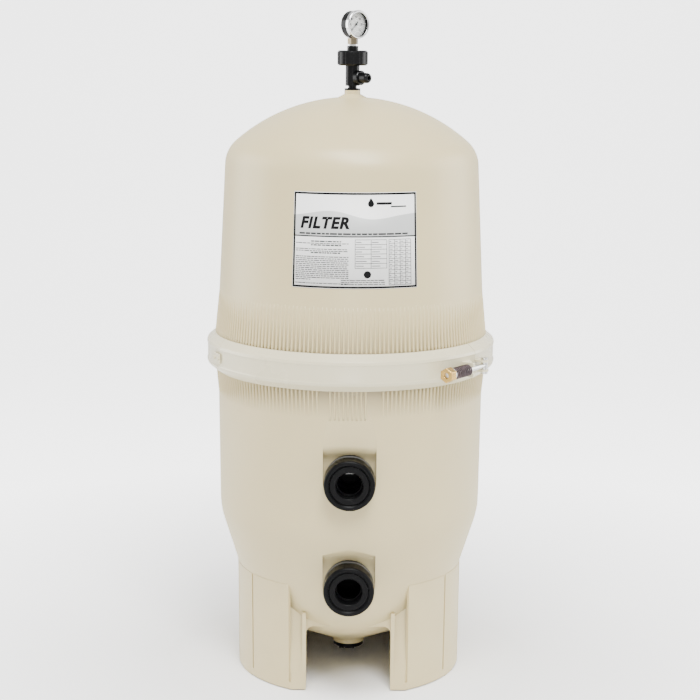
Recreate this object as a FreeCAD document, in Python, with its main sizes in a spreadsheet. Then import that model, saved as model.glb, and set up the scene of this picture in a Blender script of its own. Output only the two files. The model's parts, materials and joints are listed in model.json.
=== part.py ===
"""Vertical-grid swimming-pool filter tank, as a parametric FreeCAD document (millimetres).

The origin is on the floor under the tank's axis: +Z is up and the two ports look along -Y.
Every driving size is in the sheet "Dims"; "Derived" holds the sizes worked out from them.
"""
import FreeCAD, Part
import math
import os
import re
import Sketcher
from FreeCAD import Placement, Rotation, Vector

DIMS = {
    # tank shells
    "split_height": 620, "split_gap": 0.3, "tank_waist": 249, "wall": 6.5, "flange_edge": 18.5,
    "flange_slope": 32, "running_gap": 0.3, "lid_knuckle": 60, "boss_radius": 14.75,
    "boss_bore": 6.2, "boss_flare": 27, "boss_collar": 7, "waist_height": 335, "turn_radius": 150,
    "taper_angle": 17.5, "bowl_radius": 140, "cone_angle": 25, "sump_radius": 30.5, "sump_bottom": 35,
    "cone_rise": 8.13, "drain_bore": 14,
    # skirt and legs
    "skirt_wall": 6, "panel_half": 108, "panel_wall": 7, "panel_lean": 7.3, "panel_top": 170,
    "arch_half": 79, "arch_top": 121, "arch_corner": 14, "jamb_depth": 42, "flute_width": 4.5,
    "flute_depth": 3.2, "flute_foot": 16, "flute_inner": 30.5, "flute_outer": 57.5, "flute_side": 80,
    "pad_height": 2.5,
    # ports
    "port_half": 48, "port_bore": 31, "rim_width": 3.5, "rim_rise": 7,
    "backing_wall": 9, "backing_span": 28, "inner_boss": 15, "upper_blend_foot": 30,
    "upper_blend_rise": 36, "lower_blend_foot": 24, "lower_blend_rise": 66, "channel_depth": 3.2, "lock_nut_radius": 45.5,
    "lock_nut_thick": 12, "union_radius": 46.2, "union_front": 52, "union_back": 18,
    "union_mouth": 36.6, "collar_radius": 36, "collar_top": 30, "pipe_bore": 25.5, "socket_bore": 24.2,
    "socket_depth": 26, "tail_front": 49.5, "tail_flange": 5.5, "spigot_reach": 8, "thread_radius": 41,
    "bulkhead_flange": 42, "flange_thick": 6, "gasket_thick": 2, "seal_section": 2.6, "seal_lift": 0.8,
    "plug_radius": 29, "plug_head": 7.5, "plug_shank": 16, "plug_lug": 8.5, "ring_section": 2.8,
    "ring_groove": 6.2, "ring_depth": 5.5, "label_sheet": 0.4, "label_span": 53.2, "label_azimuth": 1.7,
    # clamp
    "clamp_half": 34, "clamp_ridge": 16.5, "clamp_shoulder": 21.5, "clamp_band_half": 13.5,
    "clamp_sheet": 2.6, "clamp_left_split": 64, "clamp_rear_split": 177.5,
    "clamp_split_gap": 1.4, "bolt_azimuth": 52.9, "bolt_radius": 4.8, "bolt_tee": 28, "bolt_reach": 92,
    "fork_seat": 24, "fork_thick": 5, "spring_radius": 9.4, "spring_wire": 1.5, "spring_length": 52,
    "spring_turns": 9, "washer_thick": 2.4, "nut_across": 24, "nut_thick": 16, "fork_half": 13, "fork_gap": 1,
    "fork_out": 10.5, "tee_radius": 6.5, "tee_half": 15, "eye_wall": 2.8, "link_half": 9,
    "link_thick": 2.4, "link_span": 6, "link_stud": 9,
    # relief valve and gauge
    "neck_radius": 8, "valve_radius": 13, "knob_radius": 28.5, "knob_height": 28,
    "adapter_radius": 10.5, "adapter_height": 8, "tape_height": 3, "hex_across": 17, "hex_height": 11,
    "outlet_azimuth": 45, "stem_tube": 5, "stem_bore": 3, "barrel_bore": 9.5, "piston_height": 8,
    "outlet_nut": 13.5, "outlet_tip": 43, "outlet_tube": 9.5, "gauge_turn": 41, "gauge_radius": 25,
    "gauge_back": 8, "gauge_front": 14, "gauge_wall": 1.6, "bezel_radius": 26, "dial_height": 7,
    "pointer_length": 17, "staff_radius": 0.8, "pinion_radius": 1.9, "sector_radius": 11.4,
    "mesh_gap": 0.2, "bourdon_radius": 18,
    # inner works
    "grid_bottom": 300, "grid_thick": 17, "grid_inner": 62, "grid_bow": 150, "manifold_height": 40,
    "pipe_radius": 24, "rod_radius": 5, "spigot_radius": 15, "spigot_rise": 8,
    "tray_thick": 8, "leg_radius": 9,
}

DERIVED = {
    # tank and skirt
    "tank_radius": "tank_waist + 2.5",
    "flange_radius": "tank_waist + 16",
    "lid_foot": "tank_waist + 4",
    "lid_shoulder": "lid_foot - 15.7",
    "lid_top": "split_height + 473.5",
    "lid_crown": "tank_waist * 1.3253",
    "boss_top": "lid_top + 12.5",
    "ring_radius": "flange_radius - 7.5",
    "skirt_radius": "tank_waist - 33",
    "skirt_foot": "skirt_radius - 1.5",
    "panel_front": "skirt_radius - 29",
    # clamp and bolt
    "clamp_lip": "lid_foot + 3.6",
    "clamp_band": "flange_radius + 6.6",
    "clamp_radius": "clamp_band + 1.4",
    "bolt_offset": "clamp_radius + 12.5",
    "bolt_height": "split_height - 5",
    "clamp_split": "bolt_azimuth + (bolt_tee - 9.565) / bolt_offset * 57.3",
    # ports and label
    "upper_seat": "tank_waist - 21",
    "lower_seat": "tank_waist - 37",
    "channel_front": "tank_waist - channel_depth",
    "lower_port": "taper_foot + 42",
    "upper_port": "lower_port + 202",
    "cut_front": "tank_waist + 51",
    "label_low": "split_height + 149",
    "label_high": "label_low + 169",
    # valve and gauge
    "valve_base": "boss_top + 8",
    "valve_top": "valve_base + 37",
    "outlet_height": "valve_base + 15",
    "piston_low": "valve_base + 7",
    "gauge_height": "hex_bottom + hex_height + bezel_radius - 1",
    # inner works
    "grid_outer": "tank_waist - 41",
    "manifold_radius": "tank_waist - 44",
    "standpipe_place": "tank_waist - 77",
    "tray_radius": "tank_waist - 37",
    "grid_height": "lid_top - 233.5 - grid_bottom",
    "leg_place": "bowl_centre_r + 78",
    "leg_out": "leg_place + leg_radius - bowl_centre_r",
    "leg_foot": "bowl_centre_z - sqrt((bowl_radius - wall) * (bowl_radius - wall) - leg_out * leg_out) + 0.3",
    # dished bottom: the cone ends on the sump, which sets where the taper stops
    "taper_zero": "turn_end_r - turn_end_z * tan(taper_angle)",
    "cone_reach": "taper_zero - bowl_radius * cos(taper_angle) + bowl_radius * sin(cone_angle) - sump_radius",
    "bowl_drop": "bowl_radius * cos(cone_angle) - bowl_radius * sin(taper_angle)",
    "taper_foot": "(sump_bottom + cone_rise + bowl_drop + cone_reach * tan(cone_angle))"
                  " / (1 - tan(taper_angle) * tan(cone_angle))",
    "skirt_top": "(skirt_radius - 0.7 - taper_zero) / tan(taper_angle)",
    "crown_centre": "lid_top - lid_crown",
    "crown_sine": "(lid_shoulder - lid_knuckle) / (lid_crown - lid_knuckle)",
    "crown_cosine": "sqrt(1 - crown_sine * crown_sine)",
    "shoulder_height": "crown_centre + (lid_crown - lid_knuckle) * crown_cosine",
    "turn_centre": "tank_waist - turn_radius",
    "turn_end_r": "turn_centre + turn_radius * cos(taper_angle)",
    "turn_end_z": "waist_height - turn_radius * sin(taper_angle)",
    "taper_end_r": "turn_end_r - (turn_end_z - taper_foot) * tan(taper_angle)",
    "bowl_centre_r": "taper_end_r - bowl_radius * cos(taper_angle)",
    "bowl_centre_z": "taper_foot + bowl_radius * sin(taper_angle)",
    "bowl_end_r": "bowl_centre_r + bowl_radius * sin(cone_angle)",
    "bowl_end_z": "bowl_centre_z - bowl_radius * cos(cone_angle)",
    "knob_top": "valve_top + knob_height",
    "adapter_top": "knob_top + adapter_height",
    "hex_bottom": "adapter_top + tape_height",
    "grid_top": "grid_bottom + grid_height",
    "manifold_top": "grid_top + manifold_height",
    "spigot_place": "(grid_inner + grid_outer) / 2",
    "grid_span": "grid_outer - grid_inner",
    "spigot_bow": "grid_bow - sqrt(grid_bow * grid_bow - grid_span * grid_span / 4)",
}

document = FreeCAD.newDocument("FilterTank")
pieces = []


def fill_sheet(name, cells):
    """Make a sheet with one alias per row; the text of a cell may be a formula."""
    sheet = document.addObject("Spreadsheet::Sheet", name)
    for row, alias in enumerate(cells, start=1):
        sheet.set(f"A{row}", alias)
        sheet.setAlias(f"B{row}", alias)
    for row, content in enumerate(cells.values(), start=1):
        sheet.set(f"B{row}", str(content))
    document.recompute()
    return sheet


def bound(text):
    """Point every dimension's name in an expression at the sheet that holds it."""
    def qualify(match):
        word = match.group(0)
        if word in DIMS:
            return f"<<Dims>>.{word}"
        if word in DERIVED:
            return f"<<Derived>>.{word}"
        return word
    return re.sub(r"[a-z_]+", qualify, str(text))


dims_sheet = fill_sheet("Dims", DIMS)
derived_sheet = fill_sheet("Derived", {alias: "=" + bound(text).replace("<<Derived>>.", "")
                                       for alias, text in DERIVED.items()})


def size(text):
    """Return the number that an expression of the sheet gives."""
    value = dims_sheet.evalExpression(bound(text))
    return float(getattr(value, "Value", value))


# ---------------------------------------------------------------- drawing helpers
def new_body(label):
    """Start a body that will become one named piece."""
    body = document.addObject("PartDesign::Body", "Body_" + label)
    body.Label = label
    return body


def keep(piece, label=None):
    """List an object as one of the pieces to write."""
    if label:
        piece.Label = label
    pieces.append(piece)
    return piece


def sketch_on(body, role, offset=None):
    """Add a sketch on one of the body's own origin planes, pushed out by an expression."""
    sketch = body.newObject("Sketcher::SketchObject", "Sketch")
    plane = next(item for item in body.Origin.OriginFeatures if item.Role == role)
    sketch.AttachmentSupport = [(plane, "")]
    sketch.MapMode = "FlatFace"
    if offset is not None:
        sketch.setExpression("AttachmentOffset.Base.z", bound(offset))
    return sketch


def pin_point(sketch, edge, end, place):
    """Fix one end of an edge at a place given by two expressions."""
    for kind, axis, text in (("DistanceX", -2, place[0]), ("DistanceY", -1, place[1])):
        if str(text) == "0":
            sketch.addConstraint(Sketcher.Constraint("PointOnObject", edge, end, axis))
            continue
        index = sketch.addConstraint(Sketcher.Constraint(kind, -1, 1, edge, end, size(text)))
        sketch.setExpression(f"Constraints[{index}]", bound(text))


def arc_between(start, finish, radius, turn):
    """Work out the short arc of a radius between two points; turn 1 bends left, -1 right."""
    chord = finish.sub(start)
    middle = start.add(finish).multiply(0.5)
    rise = math.sqrt(max(radius ** 2 - chord.Length ** 2 / 4, 0))
    across = Vector(-chord.y, chord.x, 0).normalize()
    centre = middle.add(across.multiply(turn * rise))
    first, last = (start, finish) if turn > 0 else (finish, start)
    circle = Part.Circle(centre, Vector(0, 0, 1), radius)
    angles = [math.atan2(point.y - centre.y, point.x - centre.x) for point in (first, last)]
    return Part.ArcOfCircle(circle, angles[0], angles[1])


def draw_outline(sketch, corners):
    """Draw a closed outline: each corner is (x, y), or (x, y, radius, turn) for an arc to the next."""
    spots = [Vector(size(corner[0]), size(corner[1]), 0) for corner in corners]
    previous, first_start = None, None
    for number, corner in enumerate(corners):
        start, finish = spots[number], spots[(number + 1) % len(spots)]
        begin, end = 1, 2
        if len(corner) == 4:
            edge = sketch.addGeometry(arc_between(start, finish, size(corner[2]), corner[3]), False)
            begin, end = (1, 2) if corner[3] > 0 else (2, 1)
            index = sketch.addConstraint(Sketcher.Constraint("Radius", edge, size(corner[2])))
            sketch.setExpression(f"Constraints[{index}]", bound(corner[2]))
        else:
            edge = sketch.addGeometry(Part.LineSegment(start, finish), False)
        pin_point(sketch, edge, begin, corner[:2])
        if previous:
            sketch.addConstraint(Sketcher.Constraint("Coincident", *previous, edge, begin))
        else:
            first_start = (edge, begin)
        previous = (edge, end)
    sketch.addConstraint(Sketcher.Constraint("Coincident", *previous, *first_start))
    return sketch


def draw_circle(sketch, radius, place=("0", "0")):
    """Draw a full circle at a place given by two expressions."""
    centre = Vector(size(place[0]), size(place[1]), 0)
    edge = sketch.addGeometry(Part.Circle(centre, Vector(0, 0, 1), size(radius)), False)
    pin_point(sketch, edge, 3, place)
    index = sketch.addConstraint(Sketcher.Constraint("Radius", edge, size(radius)))
    sketch.setExpression(f"Constraints[{index}]", bound(radius))
    return sketch


def turn_about_axis(body, corners, kind="Revolution", sweep="360", midplane=False):
    """Revolve (or groove) a half section, drawn as radius against height, about +Z."""
    sketch = draw_outline(sketch_on(body, "XZ_Plane"), corners)
    feature = body.newObject("PartDesign::" + kind, kind)
    feature.Profile = sketch
    feature.ReferenceAxis = (sketch, ["V_Axis"])
    feature.setExpression("Angle", bound(sweep))
    feature.Midplane = midplane
    return feature


def extrude(body, sketch, length, kind="Pad", midplane=False, reverse=False):
    """Pad or pocket a sketch by a length given as an expression."""
    feature = body.newObject("PartDesign::" + kind, kind)
    feature.Profile = sketch
    feature.setExpression("Length", bound(length))
    feature.Midplane = midplane
    feature.Reversed = reverse
    return feature


def rectangle(low_x, low_y, high_x, high_y):
    """Give the four corners of a rectangle from expressions."""
    return [(low_x, low_y), (high_x, low_y), (high_x, high_y), (low_x, high_y)]


def hexagon(across, sides=6):
    """Give the corners of a regular polygon with a flat-to-flat size."""
    step = 360 / sides
    reach = f"({across}) / 2 / cos({step / 2})"
    return [(f"{reach} * cos({step * (side + 0.5)})", f"{reach} * sin({step * (side + 0.5)})")
            for side in range(sides)]


def put(body, x="0", y="0", z="0", axis=(0, 0, 1), angle=0.0):
    """Place a piece: the turn is fixed, the position follows the sheet."""
    body.Placement = Placement(Vector(size(x), size(y), size(z)), Rotation(Vector(*axis), angle))
    for name, text in (("x", x), ("y", y), ("z", z)):
        body.setExpression(f"Placement.Base.{name}", bound(text))
    return body


def turned(label, corners, **options):
    """Make a whole piece as one revolved section."""
    body = new_body(label)
    turn_about_axis(body, corners, **options)
    return keep(body)


def tube(inner, outer, low, high):
    """Give the section of a plain tube."""
    return rectangle(inner, low, outer, high)


def on_arc(centre_r, centre_z, radius, angle):
    """Point of an arc whose tangent leans by an angle from the vertical, below its centre."""
    return f"{centre_r} + ({radius}) * cos({angle})", f"{centre_z} - ({radius}) * sin({angle})"


# ---------------------------------------------------------------- tank shells
def build_lid():
    """Upper half: tapered wall, knuckle, crown and a threaded boss for the relief valve."""
    low = "split_height + split_gap / 2"
    shoulder_out = ("lid_shoulder", "shoulder_height")
    crown_out = ("lid_crown * crown_sine", "crown_centre + lid_crown * crown_cosine")
    inner_crown = "(lid_crown - wall)"
    crown_in = (f"{inner_crown} * crown_sine", f"crown_centre + {inner_crown} * crown_cosine")
    flare = ("boss_flare", "crown_centre + sqrt(lid_crown * lid_crown - boss_flare * boss_flare)")
    bore_foot = ("boss_bore", f"crown_centre + sqrt({inner_crown} * {inner_crown} - boss_bore * boss_bore)")
    return turned("upper_tank_lid", [
        ("lid_foot - wall", low), ("flange_radius", low),
        ("flange_radius", "split_height + flange_edge"), ("lid_foot", "split_height + flange_slope"),
        (*shoulder_out, "lid_knuckle", 1), (*crown_out, "lid_crown", 1),
        flare, ("boss_radius", "boss_top - boss_collar"), ("boss_radius", "boss_top"),
        ("boss_bore", "boss_top"), (*bore_foot, inner_crown, -1),
        (*crown_in, "lid_knuckle - wall", -1), ("lid_shoulder - wall", "shoulder_height")])


def bowl_outline(inset):
    """Bowl's outer line (or its inner one, moved in by inset) from the waist to the cone's foot."""
    turn = f"(turn_radius - {inset})"
    bowl = f"(bowl_radius - {inset})"
    cone_end = on_arc("bowl_centre_r", "bowl_centre_z", bowl, "90 - cone_angle")
    return [("tank_waist - " + inset, "waist_height", turn, -1),
            on_arc("turn_centre", "waist_height", turn, "taper_angle"),
            (*on_arc("bowl_centre_r", "bowl_centre_z", bowl, "taper_angle"), bowl, -1), cone_end]


def cone_height(inset, radius):
    """Height of the cone's surface, moved in by inset, at a radius."""
    bowl = f"(bowl_radius - {inset})"
    reach, height = on_arc("bowl_centre_r", "bowl_centre_z", bowl, "90 - cone_angle")
    return f"{height} - ({reach} - {radius}) * tan(cone_angle)"


def add_skirt(body):
    """Round skirt with flat front panels, an arch between them, jambs and vertical flutes."""
    turn_about_axis(body, [("skirt_foot - skirt_wall", "pad_height"), ("skirt_foot", "pad_height"),
                           ("skirt_radius", "skirt_top"), ("skirt_radius - skirt_wall", "skirt_top")])
    def lean(height, back="0"):
        return f"-panel_front + ({height}) * tan(panel_lean) + {back}", height

    high = "panel_top"
    outside = draw_outline(sketch_on(body, "YZ_Plane"), [
        ("-skirt_radius - 5", "-1"), lean("-1"), lean("skirt_top + 1"), ("-skirt_radius - 5", "skirt_top + 1")])
    extrude(body, outside, "2 * panel_half", "Pocket", midplane=True)
    panel = draw_outline(sketch_on(body, "YZ_Plane"), [
        lean("pad_height"), lean("pad_height", "panel_wall"), lean(high, "panel_wall"), lean(high)])
    extrude(body, panel, "2 * panel_half + 2", midplane=True)
    for side in ("", "-"):
        jamb = sketch_on(body, "XY_Plane", "pad_height")
        draw_outline(jamb, rectangle(f"{side}arch_half", "-panel_front + 3", f"{side}(arch_half + panel_wall)",
                                     "-panel_front + jamb_depth"))
        extrude(body, jamb, f"{high} - 20 - pad_height")
    rim = sketch_on(body, "XZ_Plane", "skirt_radius + 5")
    shoulder, flat = "(arch_top - arch_corner)", "(arch_half - arch_corner)"
    draw_outline(rim, [
        ("-arch_half", "-1"), ("arch_half", "-1"), ("arch_half", shoulder, "arch_corner", 1),
        (flat, "arch_top"), (f"-{flat}", "arch_top", "arch_corner", 1), ("-arch_half", shoulder)])
    extrude(body, rim, "skirt_radius + 5 - panel_front + jamb_depth + 2", "Pocket")
    for azimuth in ("flute_inner", "flute_outer", "flute_side"):
        for side in ("", "-"):
            flute = sketch_on(body, "XY_Plane", "flute_foot")
            angle = f"(270 + {side}{azimuth})"
            half = "flute_width / 2"
            places = [("skirt_foot - flute_depth", f"-{half}"), ("skirt_radius + 4", f"-{half}"),
                      ("skirt_radius + 4", half), ("skirt_foot - flute_depth", half)]
            draw_outline(flute, [(f"({r}) * cos({angle}) - ({w}) * sin({angle})",
                                  f"({r}) * sin({angle}) + ({w}) * cos({angle})") for r, w in places])
            extrude(body, flute, "skirt_top", "Pocket", reverse=True)


def add_pads(body):
    """Three low pads under the skirt that carry the tank."""
    for azimuth in (90, 205, 335):
        pad = sketch_on(body, "XY_Plane")
        reach, half = "(skirt_foot - skirt_wall / 2)", "skirt_wall / 2"
        places = rectangle(f"{reach} - {half} + 1", "-18", f"{reach} + {half} - 1.5", "18")
        draw_outline(pad, [(f"({r}) * cos({azimuth}) - ({w}) * sin({azimuth})",
                            f"({r}) * sin({azimuth}) + ({w}) * cos({azimuth})") for r, w in places])
        extrude(body, pad, "pad_height + 2")


def add_port(body, height, seat, floor):
    """Sunk seat for one port: inner boss, backing behind the wedge, recess and bore."""
    ring = sketch_on(body, "XZ_Plane", f"{seat} - inner_boss")
    extrude(body, draw_circle(ring, "port_half - 1", ("0", height)), "inner_boss")
    rim = sketch_on(body, "XZ_Plane", f"{seat} - backing_wall / 2")
    extrude(body, draw_circle(rim, "port_half + rim_width", ("0", height)), "backing_wall / 2 + rim_rise")
    wedge = sketch_on(body, "YZ_Plane")
    front = "-cut_front"
    draw_outline(wedge, [(front, height), (f"-{seat}", height), *floor, (front, floor[-1][1])])
    extrude(body, wedge, "2 * port_half", "Pocket", midplane=True)
    recess = sketch_on(body, "XZ_Plane", "cut_front")
    extrude(body, draw_circle(recess, "port_half", ("0", height)), f"cut_front - {seat}", "Pocket")
    bore = sketch_on(body, "XZ_Plane", "cut_front")
    extrude(body, draw_circle(bore, "port_bore", ("0", height)), f"cut_front - {seat} + 60", "Pocket")


def port_blend(height, seat, foot, rise):
    """Section of a recess's top: two arcs that sweep from the seat out to the channel's face."""
    depth = f"(channel_front - {seat})"
    radius = f"(({depth} * {depth} + {rise} * {rise}) / (4 * {depth}))"
    low = f"{height} + {foot}"
    return [(f"-{seat}", low, radius, 1),
            (f"-({seat} + {depth} / 2)", f"{low} + {rise} / 2", radius, -1),
            ("-channel_front", f"{low} + {rise}")]


def add_backing(body, corners):
    """Thicken the wall inwards behind a recess: a short sector whose section is (-y, z)."""
    sketch = draw_outline(sketch_on(body, "YZ_Plane"), corners)
    feature = body.newObject("PartDesign::Revolution", "Backing")
    feature.Profile = sketch
    feature.ReferenceAxis = (sketch, ["V_Axis"])
    feature.setExpression("Angle", bound("backing_span"))
    feature.Midplane = True


def build_lower_tank():
    """Lower half: skirt and legs first, then the bowl, its cavity, the port seats and the drain."""
    body = new_body("lower_tank")
    add_skirt(body)
    add_pads(body)
    top = "split_height - split_gap / 2"
    turn_about_axis(body, [
        ("0", "sump_bottom"), ("0", top), ("flange_radius", top),
        ("flange_radius", "split_height - flange_edge"), ("tank_radius", "split_height - flange_slope"),
        *bowl_outline("0"), ("sump_radius", cone_height("0", "sump_radius")),
        ("sump_radius", "sump_bottom")])
    sump = "(sump_radius - wall)"
    turn_about_axis(body, [
        ("0", cone_height("wall", sump)), ("0", f"{top} + 1"), ("tank_radius - wall", f"{top} + 1"),
        ("tank_radius - wall", "split_height - flange_slope"), *bowl_outline("wall"),
        (sump, cone_height("wall", sump))], kind="Groove")
    groove = ("ring_radius - ring_groove / 2", "ring_radius + ring_groove / 2")
    turn_about_axis(body, rectangle(groove[0], f"{top} - ring_depth", groove[1], f"{top} + 1"),
                    kind="Groove")
    middle = "wall / 2"
    lower_back, upper_back = "-(lower_seat - backing_wall)", "-(upper_seat - backing_wall)"
    bowl_mid = bowl_outline(middle)
    add_backing(body, [(f"-({bowl_mid[1][0]})", "lower_port + 95"), (lower_back, "lower_port + 60"),
                       (lower_back, "lower_port - 20"),
                       (f"-({bowl_mid[2][0]})", "taper_foot")])
    waist_mid = "-(tank_waist - wall / 2)"
    add_backing(body, [(waist_mid, "upper_port + 95"), (upper_back, "upper_port + 50"),
                       (upper_back, "upper_port - port_half - 4"),
                       (waist_mid, "upper_port - port_half - 12")])
    add_port(body, "upper_port", "upper_seat", [
        *port_blend("upper_port", "upper_seat", "upper_blend_foot", "upper_blend_rise"),
        ("-(tank_waist + 0.2)", "split_height - flange_slope - 10")])
    add_port(body, "lower_port", "lower_seat",
             port_blend("lower_port", "lower_seat", "lower_blend_foot", "lower_blend_rise"))
    drain = sketch_on(body, "XY_Plane", "sump_bottom - 1")
    extrude(body, draw_circle(drain, "drain_bore"), "wall * 4", "Pocket", reverse=True)
    return keep(body)


def build_ring_and_label():
    """Tank O-ring in its groove, and the printed label on the lid's wall."""
    centre = "split_height - split_gap / 2 - ring_depth + ring_section"
    body = new_body("tank_o_ring")
    sketch = draw_circle(sketch_on(body, "XZ_Plane"), "ring_section", ("ring_radius", centre))
    ring = body.newObject("PartDesign::Revolution", "Ring")
    ring.Profile = sketch
    ring.ReferenceAxis = (sketch, ["V_Axis"])
    keep(body)

    def wall_at(height, out):
        slope = "(lid_shoulder - lid_foot) / (shoulder_height - split_height - flange_slope)"
        return f"lid_foot + ({height} - split_height - flange_slope) * {slope} + {out}"

    label = new_body("label")
    turn_about_axis(label, [
        (wall_at("label_low", "0.05"), "label_low"),
        (wall_at("label_low", "0.05 + label_sheet"), "label_low"),
        (wall_at("label_high", "0.05 + label_sheet"), "label_high"),
        (wall_at("label_high", "0.05"), "label_high")], sweep="label_span", midplane=True)
    label.Placement = Placement(Vector(), Rotation(Vector(0, 0, 1), size("label_azimuth - 90")))
    keep(label)


# ---------------------------------------------------------------- ports and drain
def facing_front(body, height, seat):
    """Stand a turned piece on a port's axis: its +Z looks out along -Y."""
    return put(body, "0", f"-{seat}", height, (1, 0, 0), 90)


def build_port_pieces(name, height, seat):
    """One port: bulkhead, gasket, lock nut, union O-ring, union tail and union nut."""
    gap = "running_gap"
    inner = f"(inner_boss + {gap})"
    behind = f"-({inner} + gasket_thick)"
    bulkhead = turned(f"{name}_bulkhead", [
        ("pipe_bore", f"{behind} - flange_thick"), ("bulkhead_flange", f"{behind} - flange_thick"),
        ("bulkhead_flange", behind), (f"port_bore - {gap}", behind),
        (f"port_bore - {gap}", "lock_nut_thick"), ("pipe_bore", "lock_nut_thick")])
    gasket = turned(f"{name}_gasket", tube("port_bore + 0.1", "bulkhead_flange", behind, f"-{inner}"))
    lock_nut = turned(f"{name}_lock_nut", [
        ("port_bore + 0.1", gap), ("lock_nut_radius", gap), ("lock_nut_radius", "lock_nut_thick"),
        ("thread_radius", "lock_nut_thick"), ("thread_radius", "collar_top"),
        ("port_bore + 0.1", "collar_top")])
    seal_out = "thread_radius - 2"
    seal = turned(f"{name}_union_seal", tube(f"{seal_out} - seal_section", seal_out,
                                             "collar_top", "collar_top + seal_lift"))
    flange = "collar_top + seal_lift"
    tail = turned(f"{name}_union_tail", [
        ("pipe_bore - 4", "collar_top - spigot_reach"), ("port_bore - 1", "collar_top - spigot_reach"),
        ("port_bore - 1", flange), (f"thread_radius - {gap}", flange),
        (f"thread_radius - {gap}", f"{flange} + tail_flange"), ("collar_radius", f"{flange} + tail_flange"),
        ("collar_radius", "tail_front - 1"), ("collar_radius - 1", "tail_front"),
        ("socket_bore + 1.3", "tail_front"), ("socket_bore", "tail_front - 1.3"),
        ("socket_bore", "tail_front - socket_depth"), ("pipe_bore - 4", "tail_front - socket_depth")])
    lip = f"{flange} + tail_flange + {gap}"
    nut = new_body(f"{name}_union_nut")
    turn_about_axis(nut, [
        (f"thread_radius + {gap}", "union_back"), ("union_radius - 1.5", "union_back"),
        ("union_radius", "union_back + 1.5"), ("union_radius", "union_front - 5", "5", 1),
        ("union_radius - 5", "union_front"), ("union_mouth + 2.5", "union_front"),
        ("union_mouth", "union_front - 2.5"), ("union_mouth", lip), (f"thread_radius + {gap}", lip)])
    flats = sketch_on(nut, "XY_Plane", "union_back - 1")
    draw_circle(flats, "union_radius + 20")
    draw_outline(flats, hexagon("2 * union_radius - 1.8", 8))
    extrude(nut, flats, "union_front - union_back - 5", "Pocket", reverse=True)
    keep(nut)
    for piece in (bulkhead, gasket, lock_nut, seal, tail, nut):
        facing_front(piece, height, seat)


def build_drain():
    """Drain plug with two wrench lugs, screwed up into the sump, and its O-ring."""
    low = "sump_bottom - seal_lift"
    seal = turned("drain_o_ring", tube("drain_bore + 2.5", "drain_bore + 2.5 + seal_section",
                                       low, "sump_bottom - 0.05"))
    plug = new_body("drain_plug")
    turn_about_axis(plug, [
        ("0", f"{low} - plug_head"), ("plug_radius - 1.5", f"{low} - plug_head"),
        ("plug_radius", f"{low} - plug_head + 1.5"), ("plug_radius", low),
        ("drain_bore - running_gap", low), ("drain_bore - running_gap", "sump_bottom + plug_shank"),
        ("0", "sump_bottom + plug_shank")])
    lugs = sketch_on(plug, "XY_Plane", f"{low} - plug_head")
    draw_outline(lugs, rectangle("-18", "-6", "-9", "6"))
    draw_outline(lugs, rectangle("-6", "-8", "12", "8"))
    extrude(plug, lugs, "plug_lug", reverse=True)
    keep(plug)


# ---------------------------------------------------------------- band clamp
def clamp_section():
    """Open channel section of the clamp, outside first, then back along the inside."""
    middle, sheet = "split_height", "clamp_sheet"
    outer = [("clamp_lip", "clamp_half"), ("clamp_band", "clamp_shoulder"),
             ("clamp_radius", "clamp_ridge"), ("clamp_band", "clamp_band_half")]
    upper_out = [(r, f"{middle} + {z}") for r, z in outer]
    lower_out = [(r, f"{middle} - {z}") for r, z in reversed(outer)]
    inner = [(f"clamp_lip - {sheet} * 0.76", f"clamp_half - {sheet} * 0.66"),
             (f"clamp_band - {sheet} * 1.1", f"clamp_shoulder - {sheet} * 0.7")]
    lower_in = [(r, f"{middle} - ({z})") for r, z in inner]
    upper_in = [(r, f"{middle} + ({z})") for r, z in reversed(inner)]
    return (upper_out + lower_out + lower_in + upper_in)[::-1]


def clamp_segment(label, first, last):
    """One segment of the clamp between two azimuths measured from the front."""
    body = new_body(label)
    turn_about_axis(body, clamp_section(), sweep=f"({last}) - ({first}) - clamp_split_gap / 5",
                    midplane=True)
    turn = size(f"(({first}) + ({last})) / 2 - 90")
    body.Placement = Placement(Vector(), Rotation(Vector(0, 0, 1), turn))
    return body


def on_bolt(piece):
    """Place a piece in the bolt's frame: +X along the bolt to its nut, +Y outward, +Z up."""
    azimuth = "(bolt_azimuth - 90)"
    return put(piece, f"bolt_offset * cos({azimuth})", f"bolt_offset * sin({azimuth})", "bolt_height",
               angle=size("bolt_azimuth - 180"))


def lug_block(label, corners, low, high, hole=None):
    """A plate of the closure, drawn in the bolt's frame and cut by an optional upright hole."""
    body = new_body(label)
    sketch = draw_outline(sketch_on(body, "XY_Plane", low), corners)
    if hole:
        draw_circle(sketch, hole[0], hole[1:])
    extrude(body, sketch, f"({high}) - ({low})")
    return on_bolt(body)


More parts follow.
